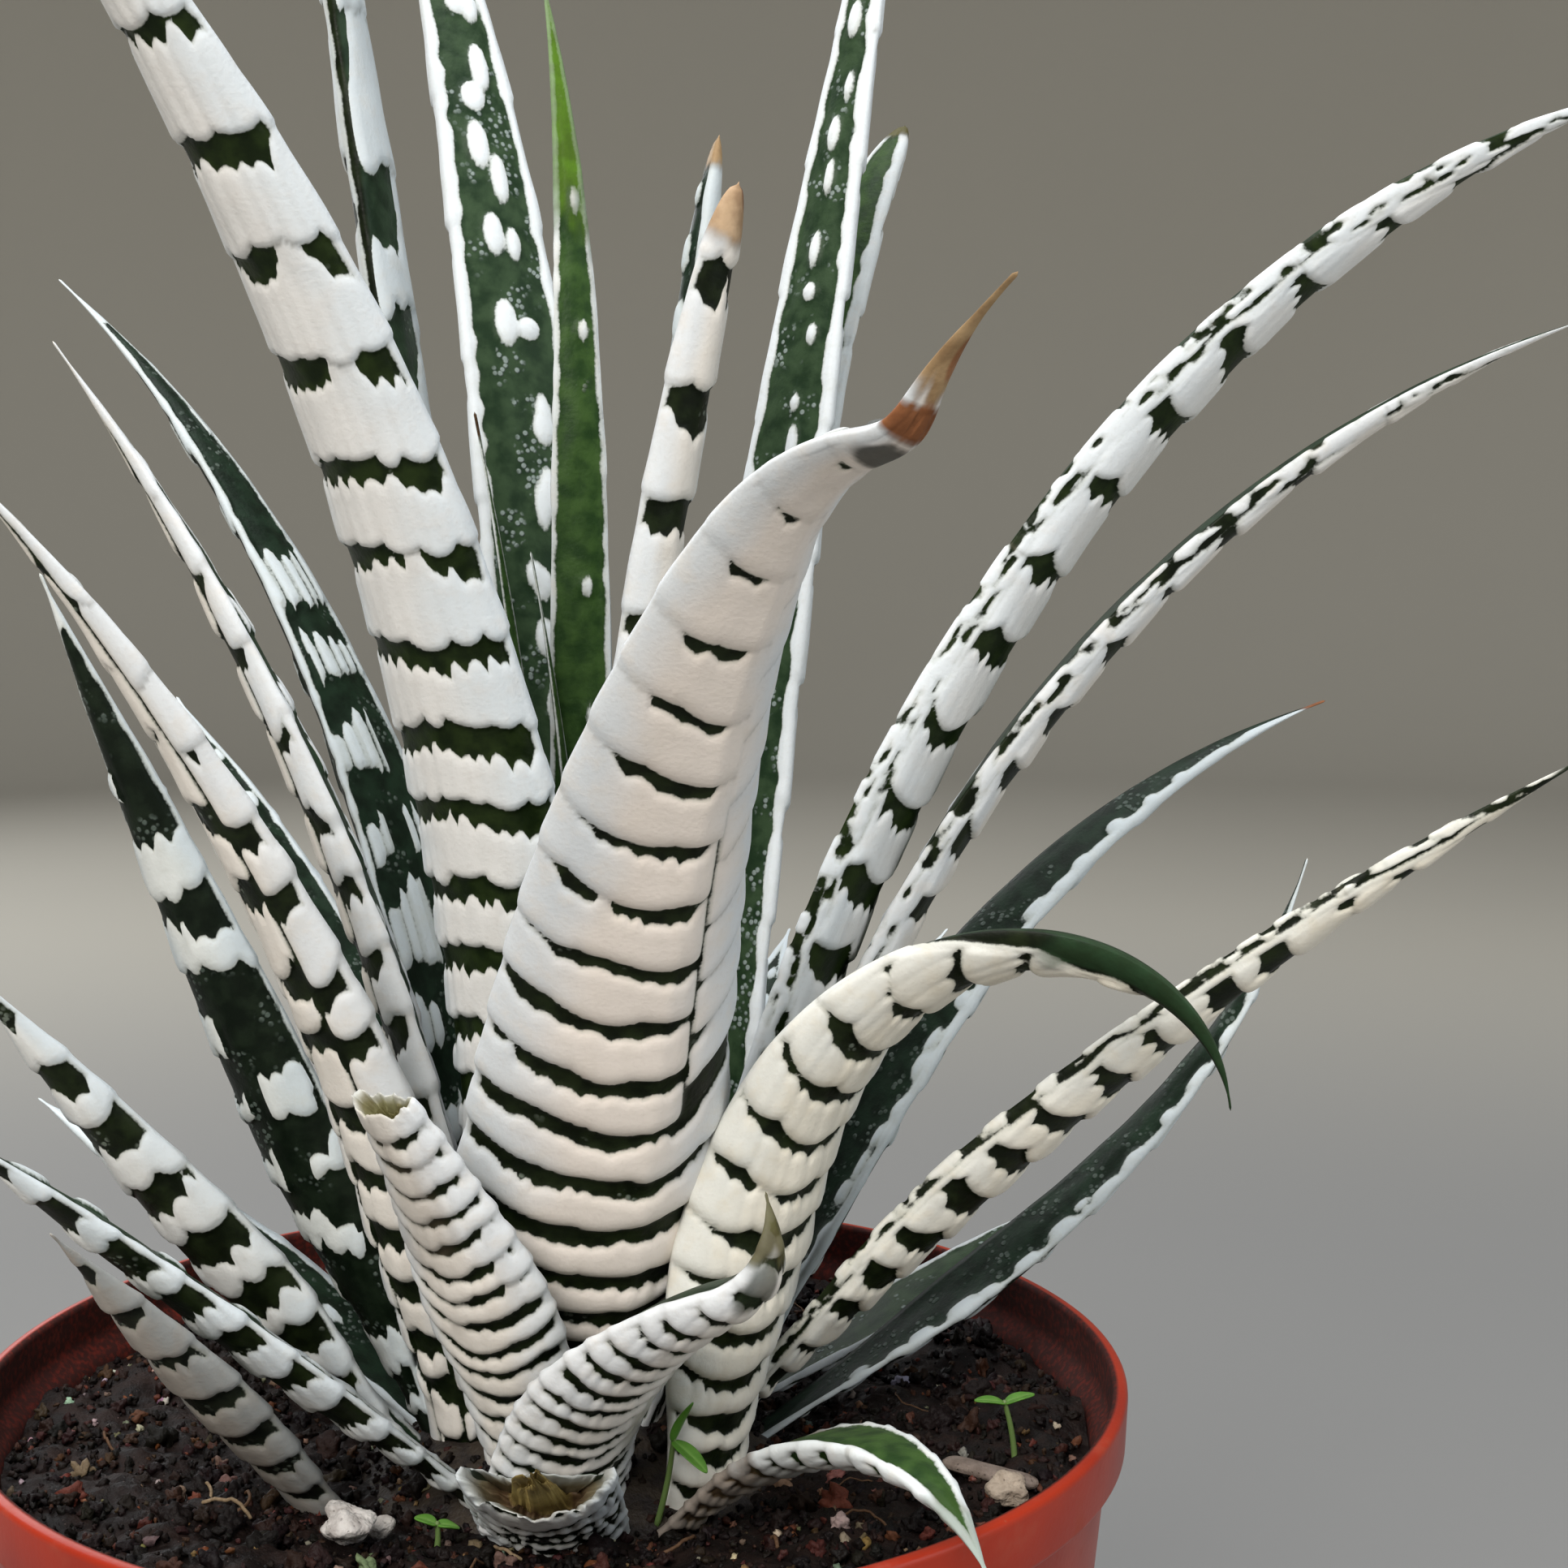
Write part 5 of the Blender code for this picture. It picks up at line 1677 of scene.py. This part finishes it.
@dataclass(frozen=True)
class Ground:
    """The compost in the pot, in millimetres, with its crumbs and fibres."""

    levels: tuple[tuple[float, float], ...] = (
        (16.0, 72.4), (20.5, 72.8), (25.0, 74.2), (30.0, 74.9), (34.5, 75.2), (38.5, 75.4))
    edge_level: float = 74.6
    lump: float = 0.9
    lump_size: float = 7.0
    nest: float = 18.6
    gap: float = 0.15
    clear: float = 0.3  # between the body of the bed and the pot's floor
    step: float = 0.42
    crumbs: int = 5200
    fibres: int = 24

    # The share of crumbs up to which each colour goes.
    PALETTE = (
        (0.50, (0.006, 0.0035, 0.003)), (0.74, (0.016, 0.008, 0.006)), (0.89, (0.050, 0.021, 0.013)),
        (0.94, (0.13, 0.038, 0.020)), (0.975, (0.19, 0.12, 0.07)), (0.99, (0.24, 0.19, 0.16)),
        (1.0, (0.46, 0.41, 0.36)))
    DARK_FIBRE = (0.12, 0.065, 0.035)
    PALE_FIBRE = (0.28, 0.20, 0.12)
    FIBRE_STEPS = 10

    def edge(self) -> float:
        """The radius where the compost meets the pot's wall."""
        return POT.radius(self.edge_level) - POT.wall - self.gap

    def surface(self, x: float, y: float) -> float:
        """The compost's height, as its solid has it.

        Args:
            x: The place along the X axis, in millimetres.
            y: The place along the Y axis.

        Returns:
            The height there.
        """
        distance = hypot(x, y)
        radii, levels = zip(*self.levels)
        lump = noise.noise(Vector((x, y, 0.0)) / self.lump_size) * self.lump
        fade = min(max((distance - self.nest) / 8.0, 0.0), 1.0)
        return float(np.interp(distance, radii, levels)) + lump * fade

    def build_bed(self) -> None:
        """Makes the compost itself: a fine rough top on a body that fills the pot."""
        edge = self.edge()
        radii = np.append(np.arange(0.5, edge, self.step), edge)
        count = int(2 * pi * edge / (self.step * 1.15))
        angles = ring_angles(count)
        x, y = np.outer(radii, np.cos(angles)), np.outer(radii, np.sin(angles))
        even = np.array([self.surface(a, b) for a, b in zip(x.ravel(), y.ravel())]).reshape(x.shape)
        lattice = Lattice(11)
        rough = lattice.layered(x / 2.4, y / 2.4, 4) * 0.75
        rough += np.abs(lattice.layered(x / 0.9 + 40, y / 0.9, 2)) * 0.45 - 0.2
        z = even + rough - 0.35 * bell(radii - edge, 1.2)[:, None]
        ring = POT.foot - POT.foot_ring
        floor = POT.wall + POT.foot_lift + self.clear
        low = POT.wall + self.clear
        waist = POT.height / 2
        sides = [(POT.radius(waist) - POT.wall - self.clear, waist),
                 (POT.radius(low) - POT.wall - 2 * self.clear, low), (ring + POT.wall + self.clear, low),
                 (ring + self.clear, floor), (POT.boss - self.clear, floor),
                 (POT.boss - POT.wall - self.clear, low), (radii[0], low)]
        rings = [*np.stack([x, y, z], -1), *turned_rings(sides, count)]
        points = np.vstack([*rings, [[0, 0, low]], [[0, 0, z[0].mean()]]])
        body = Body()
        body.add(points, closed_faces(len(rings), count, False), tint=np.zeros((len(points), 4)))
        body.piece("soil_fine", COMPOST, "compost", "soil")

    def grain_colour(self, draw: np.random.Generator) -> Colour:
        """A crumb's colour.

        Args:
            draw: The source of its random choice.

        Returns:
            The colour.
        """
        pick = draw.uniform()
        base = next(colour for limit, colour in self.PALETTE if pick <= limit)
        return tuple(channel * draw.uniform(0.7, 1.35) for channel in base)

    def build_crumbs(self) -> None:
        """Scatters crumbs over the bed and the foot of the crown."""
        draw = np.random.default_rng(21)
        shapes = {level: Lump.template(level) for level in (2, 3)}
        body = Body()
        reach = self.edge() - 0.5
        for _ in range(self.crumbs):
            distance, angle = reach * sqrt(draw.uniform(0.06, 1.0)), draw.uniform(0, 2 * pi)
            x, y = distance * cos(angle), distance * sin(angle)
            size = min(0.26 * draw.lognormal(0.0, 0.50), 0.95)
            ball, faces = shapes[3 if size > 0.5 else 2]
            shift = draw.uniform(-50, 50, 3)
            lump = Lump(1.1, 1.5).shape(ball, shift) * size * draw.uniform(0.6, 1.25, 3)
            turn = np.array(Matrix.Rotation(draw.uniform(0, 6.28), 3, Vector(draw.normal(size=3))))
            level, off = self.surface(x, y), hypot(x - CROWN.x, y - CROWN.y)
            if off < CROWN.skirt:
                level = max(level, float(CROWN.height(off)))
            points = lump @ turn.T + [x, y, level + size * 0.2]
            colour = self.grain_colour(draw)
            body.add(points, faces, tint=np.tile([*colour, 0.9], (len(points), 1)))
        body.piece("soil_crumbs", COMPOST, "compost")

    def build_fibres(self) -> None:
        """Lays fine roots and bits of fibre in the bed."""
        draw = np.random.default_rng(33)
        body = Body()
        for index in range(self.fibres):
            distance, angle = draw.uniform(19.5, 40.0), draw.uniform(0, 2 * pi)
            heading, turn = draw.uniform(0, 2 * pi), draw.uniform(-0.22, 0.22)
            length = draw.uniform(2.0, 6.0)
            x, y = distance * cos(angle), distance * sin(angle)
            path = []
            for share in np.linspace(0.0, 1.0, self.FIBRE_STEPS + 1):
                arch = sin(pi * share) * draw.uniform(0.4, 0.8)
                path.append((x, y, self.surface(x, y) + 0.25 + arch))
                x += cos(heading) * length / self.FIBRE_STEPS
                y += sin(heading) * length / self.FIBRE_STEPS
                heading += turn
            if max(hypot(px, py) for px, py, _ in path) > self.edge() - 0.5:
                continue
            thick = draw.uniform(0.06, 0.15)
            points, faces = tube(np.array(path), np.full(len(path), thick), 7)
            colour = self.DARK_FIBRE if index % 3 else self.PALE_FIBRE
            body.add(points, faces, tint=np.tile([*colour, 1.0], (len(points), 1)))
        body.piece("soil_fibres", COMPOST, "compost")

    def build(self) -> None:
        """Makes the bed and what lies on it."""
        self.build_bed()
        self.build_crumbs()
        self.build_fibres()


def tube(path: Array, radii: Array, sides: int) -> tuple[Array, Faces]:
    """A closed tube along a path.

    Args:
        path: The points that it follows.
        radii: Its radius at each of them.
        sides: The number of its sides.

    Returns:
        Its points and faces.
    """
    along = np.gradient(path, axis=0)
    along /= np.linalg.norm(along, axis=1, keepdims=True)
    guide = np.array([0.31, 0.17, 0.93])
    side = np.cross(along, guide)
    side /= np.linalg.norm(side, axis=1, keepdims=True)
    up = np.cross(side, along)
    angles = ring_angles(sides)[None, :, None]
    ring = np.cos(angles) * side[:, None, :] + np.sin(angles) * -up[:, None, :]
    points = (path[:, None, :] + ring * radii[:, None, None]).reshape(-1, 3)
    ends = np.stack([path[-1] + along[-1] * radii[-1] * 0.6, path[0] - along[0] * radii[0] * 0.6])
    return np.vstack([points, ends]), closed_faces(len(path), sides)


@dataclass(frozen=True)
class Lump:
    """A rough, rounded lump: how deep its hollows are, and how many there are round it."""

    depth: float
    pace: float

    @staticmethod
    def template(level: int) -> tuple[Array, Faces]:
        """A ball of radius 1.

        Args:
            level: How finely its faces are divided.

        Returns:
            Its points and faces.
        """
        ball = bmesh.new()
        bmesh.ops.create_icosphere(ball, subdivisions=level, radius=1.0)
        points = np.array([vertex.co for vertex in ball.verts])
        faces = [tuple(vertex.index for vertex in face.verts) for face in ball.faces]
        ball.free()
        return points, faces

    def shape(self, ball: Array, shift: Array) -> Array:
        """The ball's points, pushed in and out."""
        push = [1.0 + self.depth * noise.noise(Vector(point * self.pace + shift)) for point in ball]
        return ball * np.array(push)[:, None]


@dataclass(frozen=True)
class Grain:
    """A grain that lies on the compost: where its solid is, and its size in millimetres."""

    node: str
    azimuth: float
    distance: float
    size: float
    finish: Mineral
    lump: float = 0.5
    flatness: float = 0.85
    sink: float = 0.6

    def build(self) -> None:
        """Makes the grain with the form of its solid, and pits in it."""
        east, north = direction(self.azimuth)
        x, y = self.distance * east, self.distance * north
        ball, faces = Lump.template(6)
        points = ball * self.size / 2
        shift = np.array([x, y, self.size])
        rough = Lattice(int(self.size * 10))
        for index, point in enumerate(points):
            push = 1.0 + self.lump * noise.noise(Vector(point * 0.7 + shift))
            push += 0.05 * noise.noise(Vector(point * 2.6 + shift))
            push += 0.03 * noise.noise(Vector(point * 7.0))
            points[index] = point * push
        spin = np.arctan2(points[:, 1], points[:, 0]) * 4.0
        points *= 1.0 - 0.035 * smoothstep(rough.at(spin, points[:, 2] * 3.0) * 2.2 - 1.2)[:, None]
        points[:, 2] *= self.flatness
        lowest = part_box(self.node)[0].z / MM
        points += [x, y, lowest - points[:, 2].min() - self.sink]
        body = Body()
        body.add(points, faces)
        body.piece(self.node + "_fine", self.finish.material, "perlite", self.node)


PERLITE = Mineral("perlite", (0.62, 0.59, 0.56), (0.26, 0.22, 0.20))
PUMICE = Mineral("pumice", (0.46, 0.38, 0.30), (0.20, 0.15, 0.11))
BARK_SKIN = Mineral("bark", (0.24, 0.19, 0.16), (0.07, 0.045, 0.03))
GRAINS = (
    Grain("perlite_large", 238.7, 24.8, 3.5, PERLITE, sink=0.5),
    Grain("perlite_small", 238.5, 21.2, 1.8, PERLITE, sink=0.3),
    Grain("pumice_by_rim", -25.8, 38.2, 3.0, PUMICE, sink=0.4),
)


@dataclass(frozen=True)
class Bark:
    """The flake of bark by the rim, in millimetres and degrees."""

    length: float = 8.0
    width: float = 1.8
    thickness: float = 0.9
    azimuth: float = -20.0
    distance: float = 35.6
    turn: float = -36.0
    sink: float = 0.35

    def build(self) -> None:
        """Makes the flake: a long splinter with split ends and a fibrous skin."""
        rings, sides = 60, 28
        share = np.linspace(-1.0, 1.0, rings)
        angles = ring_angles(sides)
        lattice = Lattice(58)
        ends = np.sqrt(np.clip(1.0 - np.abs(share) ** 7, 0.02, 1.0))[:, None]
        fibre = lattice.layered(share[:, None] * 1.6, angles[None, :] * 5.0, 3)
        across = np.sign(np.cos(angles)) * np.abs(np.cos(angles)) ** 0.7 * self.width / 2
        up = np.sign(np.sin(angles)) * np.abs(np.sin(angles)) ** 0.7 * self.thickness / 2
        along = np.broadcast_to(share[:, None] * self.length / 2, fibre.shape)
        along = along * (1.0 + 0.03 * lattice.at(angles[None, :] * 3.0, 4.0))
        points = np.stack([along, across * ends * (1 + 0.10 * fibre), up * ends * (1 + 0.22 * fibre)], -1)
        turn = np.array(Matrix.Rotation(radians(self.turn), 3, "Z"))
        east, north = direction(self.azimuth)
        low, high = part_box("bark_flake")
        middle = [self.distance * east, self.distance * north, (low.z + high.z) / 2 / MM - self.sink]
        points = points.reshape(-1, 3) @ turn.T + middle
        points = np.vstack([points, points[-sides:].mean(0), points[:sides].mean(0)])
        body = Body()
        body.add(points, closed_faces(rings, sides))
        body.piece("bark_flake_fine", BARK_SKIN.material, "bark", "bark_flake")


@dataclass(frozen=True)
class Seedling:
    """A seedling with two leaves, in millimetres and degrees."""

    node: str
    azimuth: float
    distance: float
    tall: float
    lean: float
    heading: float
    leaf_length: float
    first: tuple[float, float]
    second: tuple[float, float]
    stalk: float = 0.22
    leaf_width: float = 1.55
    leaf_thickness: float = 0.28
    sink: float = 1.0

    def blade(self, top: Array, azimuth: float, rise: float) -> tuple[Array, Faces, Array]:
        """One leaf.

        Args:
            top: The top of the stalk.
            azimuth: Where the leaf points, in degrees.
            rise: Its slope, in degrees.

        Returns:
            Its points and faces, and for each point 1 on the midrib and 0 elsewhere.
        """
        rings, sides = 30, 24
        share = np.linspace(0.0, 1.0, rings)
        angles = ring_angles(sides)
        swell = np.sqrt(np.clip(np.sin(pi * share ** 0.8), 0.0, 1.0))
        half = np.maximum(self.leaf_width / 2 * swell, 0.10)[:, None]
        across = half * np.cos(angles)
        cup = across ** 2 / self.leaf_width * 0.5
        up = self.leaf_thickness / 2 * np.sqrt(half / half.max()) * np.sin(angles) + cup
        rib = bell(np.cos(angles), 0.16) * (np.sin(angles) > 0)
        up = up - 0.05 * rib * swell[:, None]
        along = np.broadcast_to(share[:, None] * self.leaf_length, up.shape)
        droop = -0.10 * self.leaf_length * share[:, None] ** 2
        points = np.stack([along, across, up + droop], -1).reshape(-1, 3)
        turn = Matrix.Rotation(radians(azimuth), 3, "Z") @ Matrix.Rotation(radians(-rise), 3, "Y")
        points = np.vstack([points, points[-sides:].mean(0), points[:sides].mean(0)])
        points = points @ np.array(turn).T + top
        return points, closed_faces(rings, sides), np.append(np.tile(rib, rings), [0.0, 0.0])

    def build(self) -> None:
        """Makes the stalk and both leaves."""
        east, north = direction(self.azimuth)
        foot = np.array([self.distance * east, self.distance * north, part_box(self.node)[0].z / MM])
        slant = (Matrix.Rotation(radians(self.heading), 3, "Z")
                 @ Matrix.Rotation(radians(self.lean), 3, "Y"))
        up = np.array(slant @ Vector((0.0, 0.0, 1.0)))
        share = np.linspace(0.0, 1.0, 16)
        path = foot + np.outer(share * (self.tall + self.sink) - self.sink, up)
        path[:, 0] += 0.15 * np.sin(pi * share)
        points, faces = tube(path, self.stalk * (1.15 - 0.3 * share), 12)
        body = Body()
        body.add(points, faces, stalk=np.ones(len(points)), vein=np.zeros(len(points)))
        top = path[-1] - up * self.stalk
        for azimuth, rise in (self.first, self.second):
            points, faces, rib = self.blade(top, azimuth, rise)
            body.add(points, faces, stalk=np.zeros(len(points)), vein=rib)
        body.piece(self.node + "_fine", SEEDLING_SKIN, "seedling", self.node)


SEEDLING_SKIN = SeedlingSkin().material
SEEDLINGS = (
    Seedling("seedling_by_claw", -59.5, 17.6, 6.2, 13, -35, 3.6, (-30, 68), (-40, -20)),
    Seedling("seedling_by_stub", 250.8, 20.9, 1.9, 5, 0, 1.7, (180, 25), (20, -10)),
    Seedling("seedling_in_shade", -12.0, 36.4, 4.0, 10, 180, 2.4, (10, 20), (190, 15)),
)


@dataclass(frozen=True)
class Lamp:
    """A soft rectangular lamp: where it stands and what it faces, in metres, and its light."""

    name: str
    place: tuple[float, float, float]
    target: tuple[float, float, float]
    size: float
    power: float
    colour: Colour

    def build(self) -> None:
        """Adds the lamp, which itself stays out of the picture."""
        data = bpy.data.lights.new(self.name, "AREA")
        data.shape, data.size = "SQUARE", self.size
        data.energy, data.color = self.power, self.colour
        obj = bpy.data.objects.new(self.name, data)
        obj.location = self.place
        obj.rotation_euler = (Vector(self.target) - obj.location).to_track_quat("-Z", "Y").to_euler()
        obj.visible_camera = False
        bpy.context.scene.collection.objects.link(obj)


@dataclass(frozen=True)
class Studio:
    """The plain pale floor, the surround, the lamps and the camera, in metres unless said."""

    floor_colour: Colour = (0.225, 0.225, 0.22)
    wall_colour: Colour = (0.43, 0.41, 0.355)
    cloud_colour: Colour = (0.3, 0.29, 0.27)
    floor_radius: float = 0.30
    wall_distance: float = 1.5
    wall_height: float = 1.8
    bend: float = 0.35
    camera: tuple[float, float, float] = (0.0181, -0.1868, 0.1474)
    pitch: float = -6.5  # degrees
    focal_pixels: float = 3000.0
    frame_pixels: float = 1932.0
    sensor: float = 36.0  # millimetres
    sky_colour: Colour = (0.80, 0.86, 1.0)
    sky_strength: float = 0.15
    lamps: tuple[Lamp, ...] = (
        Lamp("key", (-0.22, -0.72, 0.72), (0, 0, 0.12), 0.50, 8.6, (1.0, 0.965, 0.92)),
        Lamp("sky", (-0.05, 0.05, 0.95), (0, 0, 0.1), 0.8, 6.8, (0.97, 0.98, 1.0)),
        Lamp("side", (0.75, -0.35, 0.40), (0, 0, 0.12), 0.6, 2.2, (0.86, 0.93, 1.0)),
        Lamp("back", (-0.5, 0.7, 0.5), (0, 0, 0.12), 0.6, 2.6, (0.95, 0.97, 1.0)),
    )

    def floor(self) -> None:
        """Makes one smooth sweep: pale floor under the pot, and a darker wall all round far away."""
        sides = 96
        flat = [(r, 0.0) for r in np.linspace(0.03, self.wall_distance - self.bend, 24)]
        curve = [(self.wall_distance - self.bend * (1 - sin(a)), self.bend * (1 - cos(a)))
                 for a in np.linspace(0.1, pi / 2, 12)]
        profile = [*flat, *curve, (self.wall_distance, self.wall_height)]
        points = np.vstack([*turned_rings(profile, sides), [[0, 0, 0]]])
        faces = ring_faces(len(profile), sides, False) + fan_faces(0, sides, len(profile) * sides, True)
        mesh = bpy.data.meshes.new("floor")
        mesh.from_pydata(points.tolist(), [], faces)
        mesh.shade_smooth()
        obj = bpy.data.objects.new("floor", mesh)
        bpy.context.scene.collection.objects.link(obj)
        obj.data.materials.append(self.floor_material())

    def floor_material(self) -> Material:
        """Matt paint, pale round the pot and darker away from it.

        Returns:
            The material.
        """
        graph = Graph("floor_paint")
        length = graph.node("ShaderNodeVectorMath", {"operation": "LENGTH"}, {0: graph.place})
        distance = Value(graph, length.outputs["Value"])
        cloud = graph.noise(60.0, 3.0)
        away = distance.up(self.floor_radius, self.floor_radius * 2.4)
        colour = graph.mix(away, self.floor_colour, self.wall_colour)
        colour = graph.mix(cloud * 0.06, colour, self.cloud_colour)
        return graph.finish(colour, 0.85)

    def build(self) -> None:
        """Sets up the floor, the light and the camera."""
        self.floor()
        for lamp in self.lamps:
            lamp.build()
        world = bpy.data.worlds.new("studio")
        world.use_nodes = True
        background = world.node_tree.nodes["Background"]
        background.inputs["Color"].default_value = (*self.sky_colour, 1.0)
        background.inputs["Strength"].default_value = self.sky_strength
        scene = bpy.context.scene
        scene.world = world
        scene.view_settings.view_transform = "Standard"
        data = bpy.data.cameras.new("camera")
        data.sensor_width = self.sensor
        data.lens = self.focal_pixels / self.frame_pixels * self.sensor
        data.clip_start = 0.01
        camera = bpy.data.objects.new("camera", data)
        camera.location = self.camera
        camera.rotation_euler = (radians(90.0 + self.pitch), 0.0, 0.0)
        scene.collection.objects.link(camera)
        scene.camera = camera


def main() -> None:
    """Builds the potted plant and the studio round it."""
    logging.basicConfig(level=logging.INFO, format="%(message)s")
    Studio().build()
    POT.build()
    Ground().build()
    CROWN.build()
    for leaf in LEAVES:
        leaf.build()
    for grain in GRAINS:
        grain.build()
    Bark().build()
    for seedling in SEEDLINGS:
        seedling.build()


if __name__ == "__main__":
    main()
